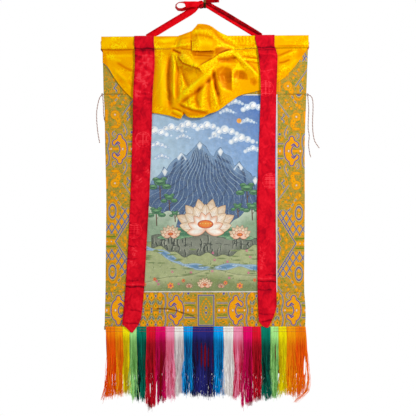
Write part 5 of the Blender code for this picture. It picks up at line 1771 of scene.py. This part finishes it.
def place_on(strand, share, corner):
    """Where a corner of a thread lies at a share of its fall, and its painted light and shade there."""
    lock = strand.lock
    aside, parted = sway(strand.across, share)
    # The backmost layer hangs straight
    loose = ease(0.15, 0.8, share) * (1 - parted) * (strand.layer > 0)
    aside += 0.3 * ease(0.8, 1.0, share) * (lock.across - strand.across)
    aside += strand.wander * loose * math.sin(5.6 * share + strand.phase)
    aside += lock.wander * loose * math.sin(4.4 * share + lock.phase)
    fall = FRINGE_TOP + share * strand.length
    stand = HEAD_FORWARD + LAYER_STEP * strand.layer
    stand += HEAD_BULGE * math.sin(math.pi * min(share * 4, 1)) * (1 - share)
    stand += 0.8 * math.sin(7 * share + strand.phase) * (0.3 + share)
    stand += lock.forward * loose * math.sin(5 * share + lock.phase)
    for left_foot, right_foot, foot in BAND_FEET:
        if left_foot < strand.across < right_foot:
            stand = min(stand, 18.4 + 5 * ease(foot - 1, foot + 12, fall))
    turn = 2 * math.pi * (corner / THREAD_SIDES + 1 / 12) + 0.35 * (strand.phase - 3.1) * share
    slim = THREAD_WIDTH / 2 * (1 if share < 0.95 else 0.5)
    # Painted light and shade, with the back layers painted darker; each thread and lock adds its own tone
    light = painted_brightness(share, strand.across) * (0.86 + 0.08 * strand.layer)
    light += (0.4 + 0.9 * loose) * (strand.tone - 0.5) + lock.tone * (0.2 + loose)
    at = spot(strand.across + aside + slim * math.cos(turn), fall, stand + slim * math.sin(turn))
    return at, min(max(light, 0), 1)


def hang_bundle(name, node, colour, left, right, tips, dice):
    """All the threads of one bundle, cut from one grid."""
    hung = threads_of(left, right, tips, dice)
    cells = (THREAD_SIDES + 1) * len(hung) - 1
    bm = bmesh.new()
    bmesh.ops.create_grid(bm, x_segments=cells, y_segments=THREAD_STEPS, size=0.5)
    tone = bm.verts.layers.float.new("tone")
    columns = {face: round((face.calc_center_median().x + 0.5) * cells - 0.5) for face in bm.faces}
    spare = [face for face, column in columns.items() if column % (THREAD_SIDES + 1) == THREAD_SIDES]
    bmesh.ops.delete(bm, geom=spare, context="FACES")
    for vert in bm.verts:
        index, corner = divmod(round((vert.co.x + 0.5) * cells), THREAD_SIDES + 1)
        vert.co, vert[tone] = place_on(hung[index], 0.5 - vert.co.y, corner)
    bmesh.ops.remove_doubles(bm, verts=bm.verts, dist=0.002 * MM)
    bmesh.ops.recalc_face_normals(bm, faces=bm.faces)
    return piece(name, bm, threads[colour], "thread_" + colour, node)


FRINGE_SEED = 5
dice = random.Random(FRINGE_SEED)
left = FRINGE_LEFT
for number, (colour, right, tips) in enumerate(zip(ORDER, RIGHT_EDGES, TIPS), start=1):
    hang_bundle(f"silk_bundle_{number:02d}", f"fringe_{number:02d}", colour, left, right, tips, dice)
    left = right + BUNDLE_GAP

# %% [markdown]
# ## Stitching
#
# Dark thread tacks the curtain under the sleeve in two places, and two rows of dull red thread hold
# the fringe's head. Each stitch is a short rounded bar, and a row is one mesh.

# %% Sew the seams
def stitches(name, start, end, pitch, size, material, slot):
    """A row of stitches from one place to another, each a small bevelled block."""
    start, end = spot(*start), spot(*end)
    count = round((end - start).length / (pitch * MM))
    bm = bmesh.new()
    for index in range(count):
        block = bmesh.ops.create_cube(bm, size=1)["verts"]
        bmesh.ops.scale(bm, verts=block, vec=Vector(size) * MM)
        bmesh.ops.translate(bm, verts=block, vec=start.lerp(end, (index + 0.5) / count))
    bmesh.ops.bevel(
        bm, geom=bm.edges[:], offset=0.18 * MM, segments=1, profile=0.5, affect="EDGES", material=-1
    )
    return piece(name, bm, material, slot)


# The sizes of a stitch are its length, its depth and its height
TACKS, HEAD_STITCH = (1.9, 0.7, 0.9), (2.5, 0.6, 0.7)
dark_thread = mottled("dark_sewing_thread", 0.7, 2, "#3A3018", "#5A4A28")
stitches("stitches_left", (-141, 137.2, 23.2), (-94, 138.4, 23.6), 3.3, TACKS, dark_thread, "yellow_silk")
stitches("stitches_right", (82, 140.4, 26.0), (141, 134.6, 23.0), 3.3, TACKS, dark_thread, "yellow_silk")
red_thread = mottled("red_sewing_thread", 0.7, 3, "#8E1C24", "#C8503C")
for row, fall, forward in (("upper", 920.0, 21.8), ("lower", 927.0, 23.0)):
    for side, left, right in (("left", -278, -222), ("middle", -183, 146), ("right", 192, 281)):
        name = f"stitches_{row}_{side}"
        ends = (left, fall, forward), (right, fall, forward)
        stitches(name, *ends, 3.4, HEAD_STITCH, red_thread, "red_lining")

# %% Measure the dressed scroll and finish
dressed_low, dressed_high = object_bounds()
sizes = {"cad": [list(cad_low), list(cad_high)], "visual": [list(dressed_low), list(dressed_high)]}
print("size", [round(v, 3) for v in dressed_high - dressed_low])
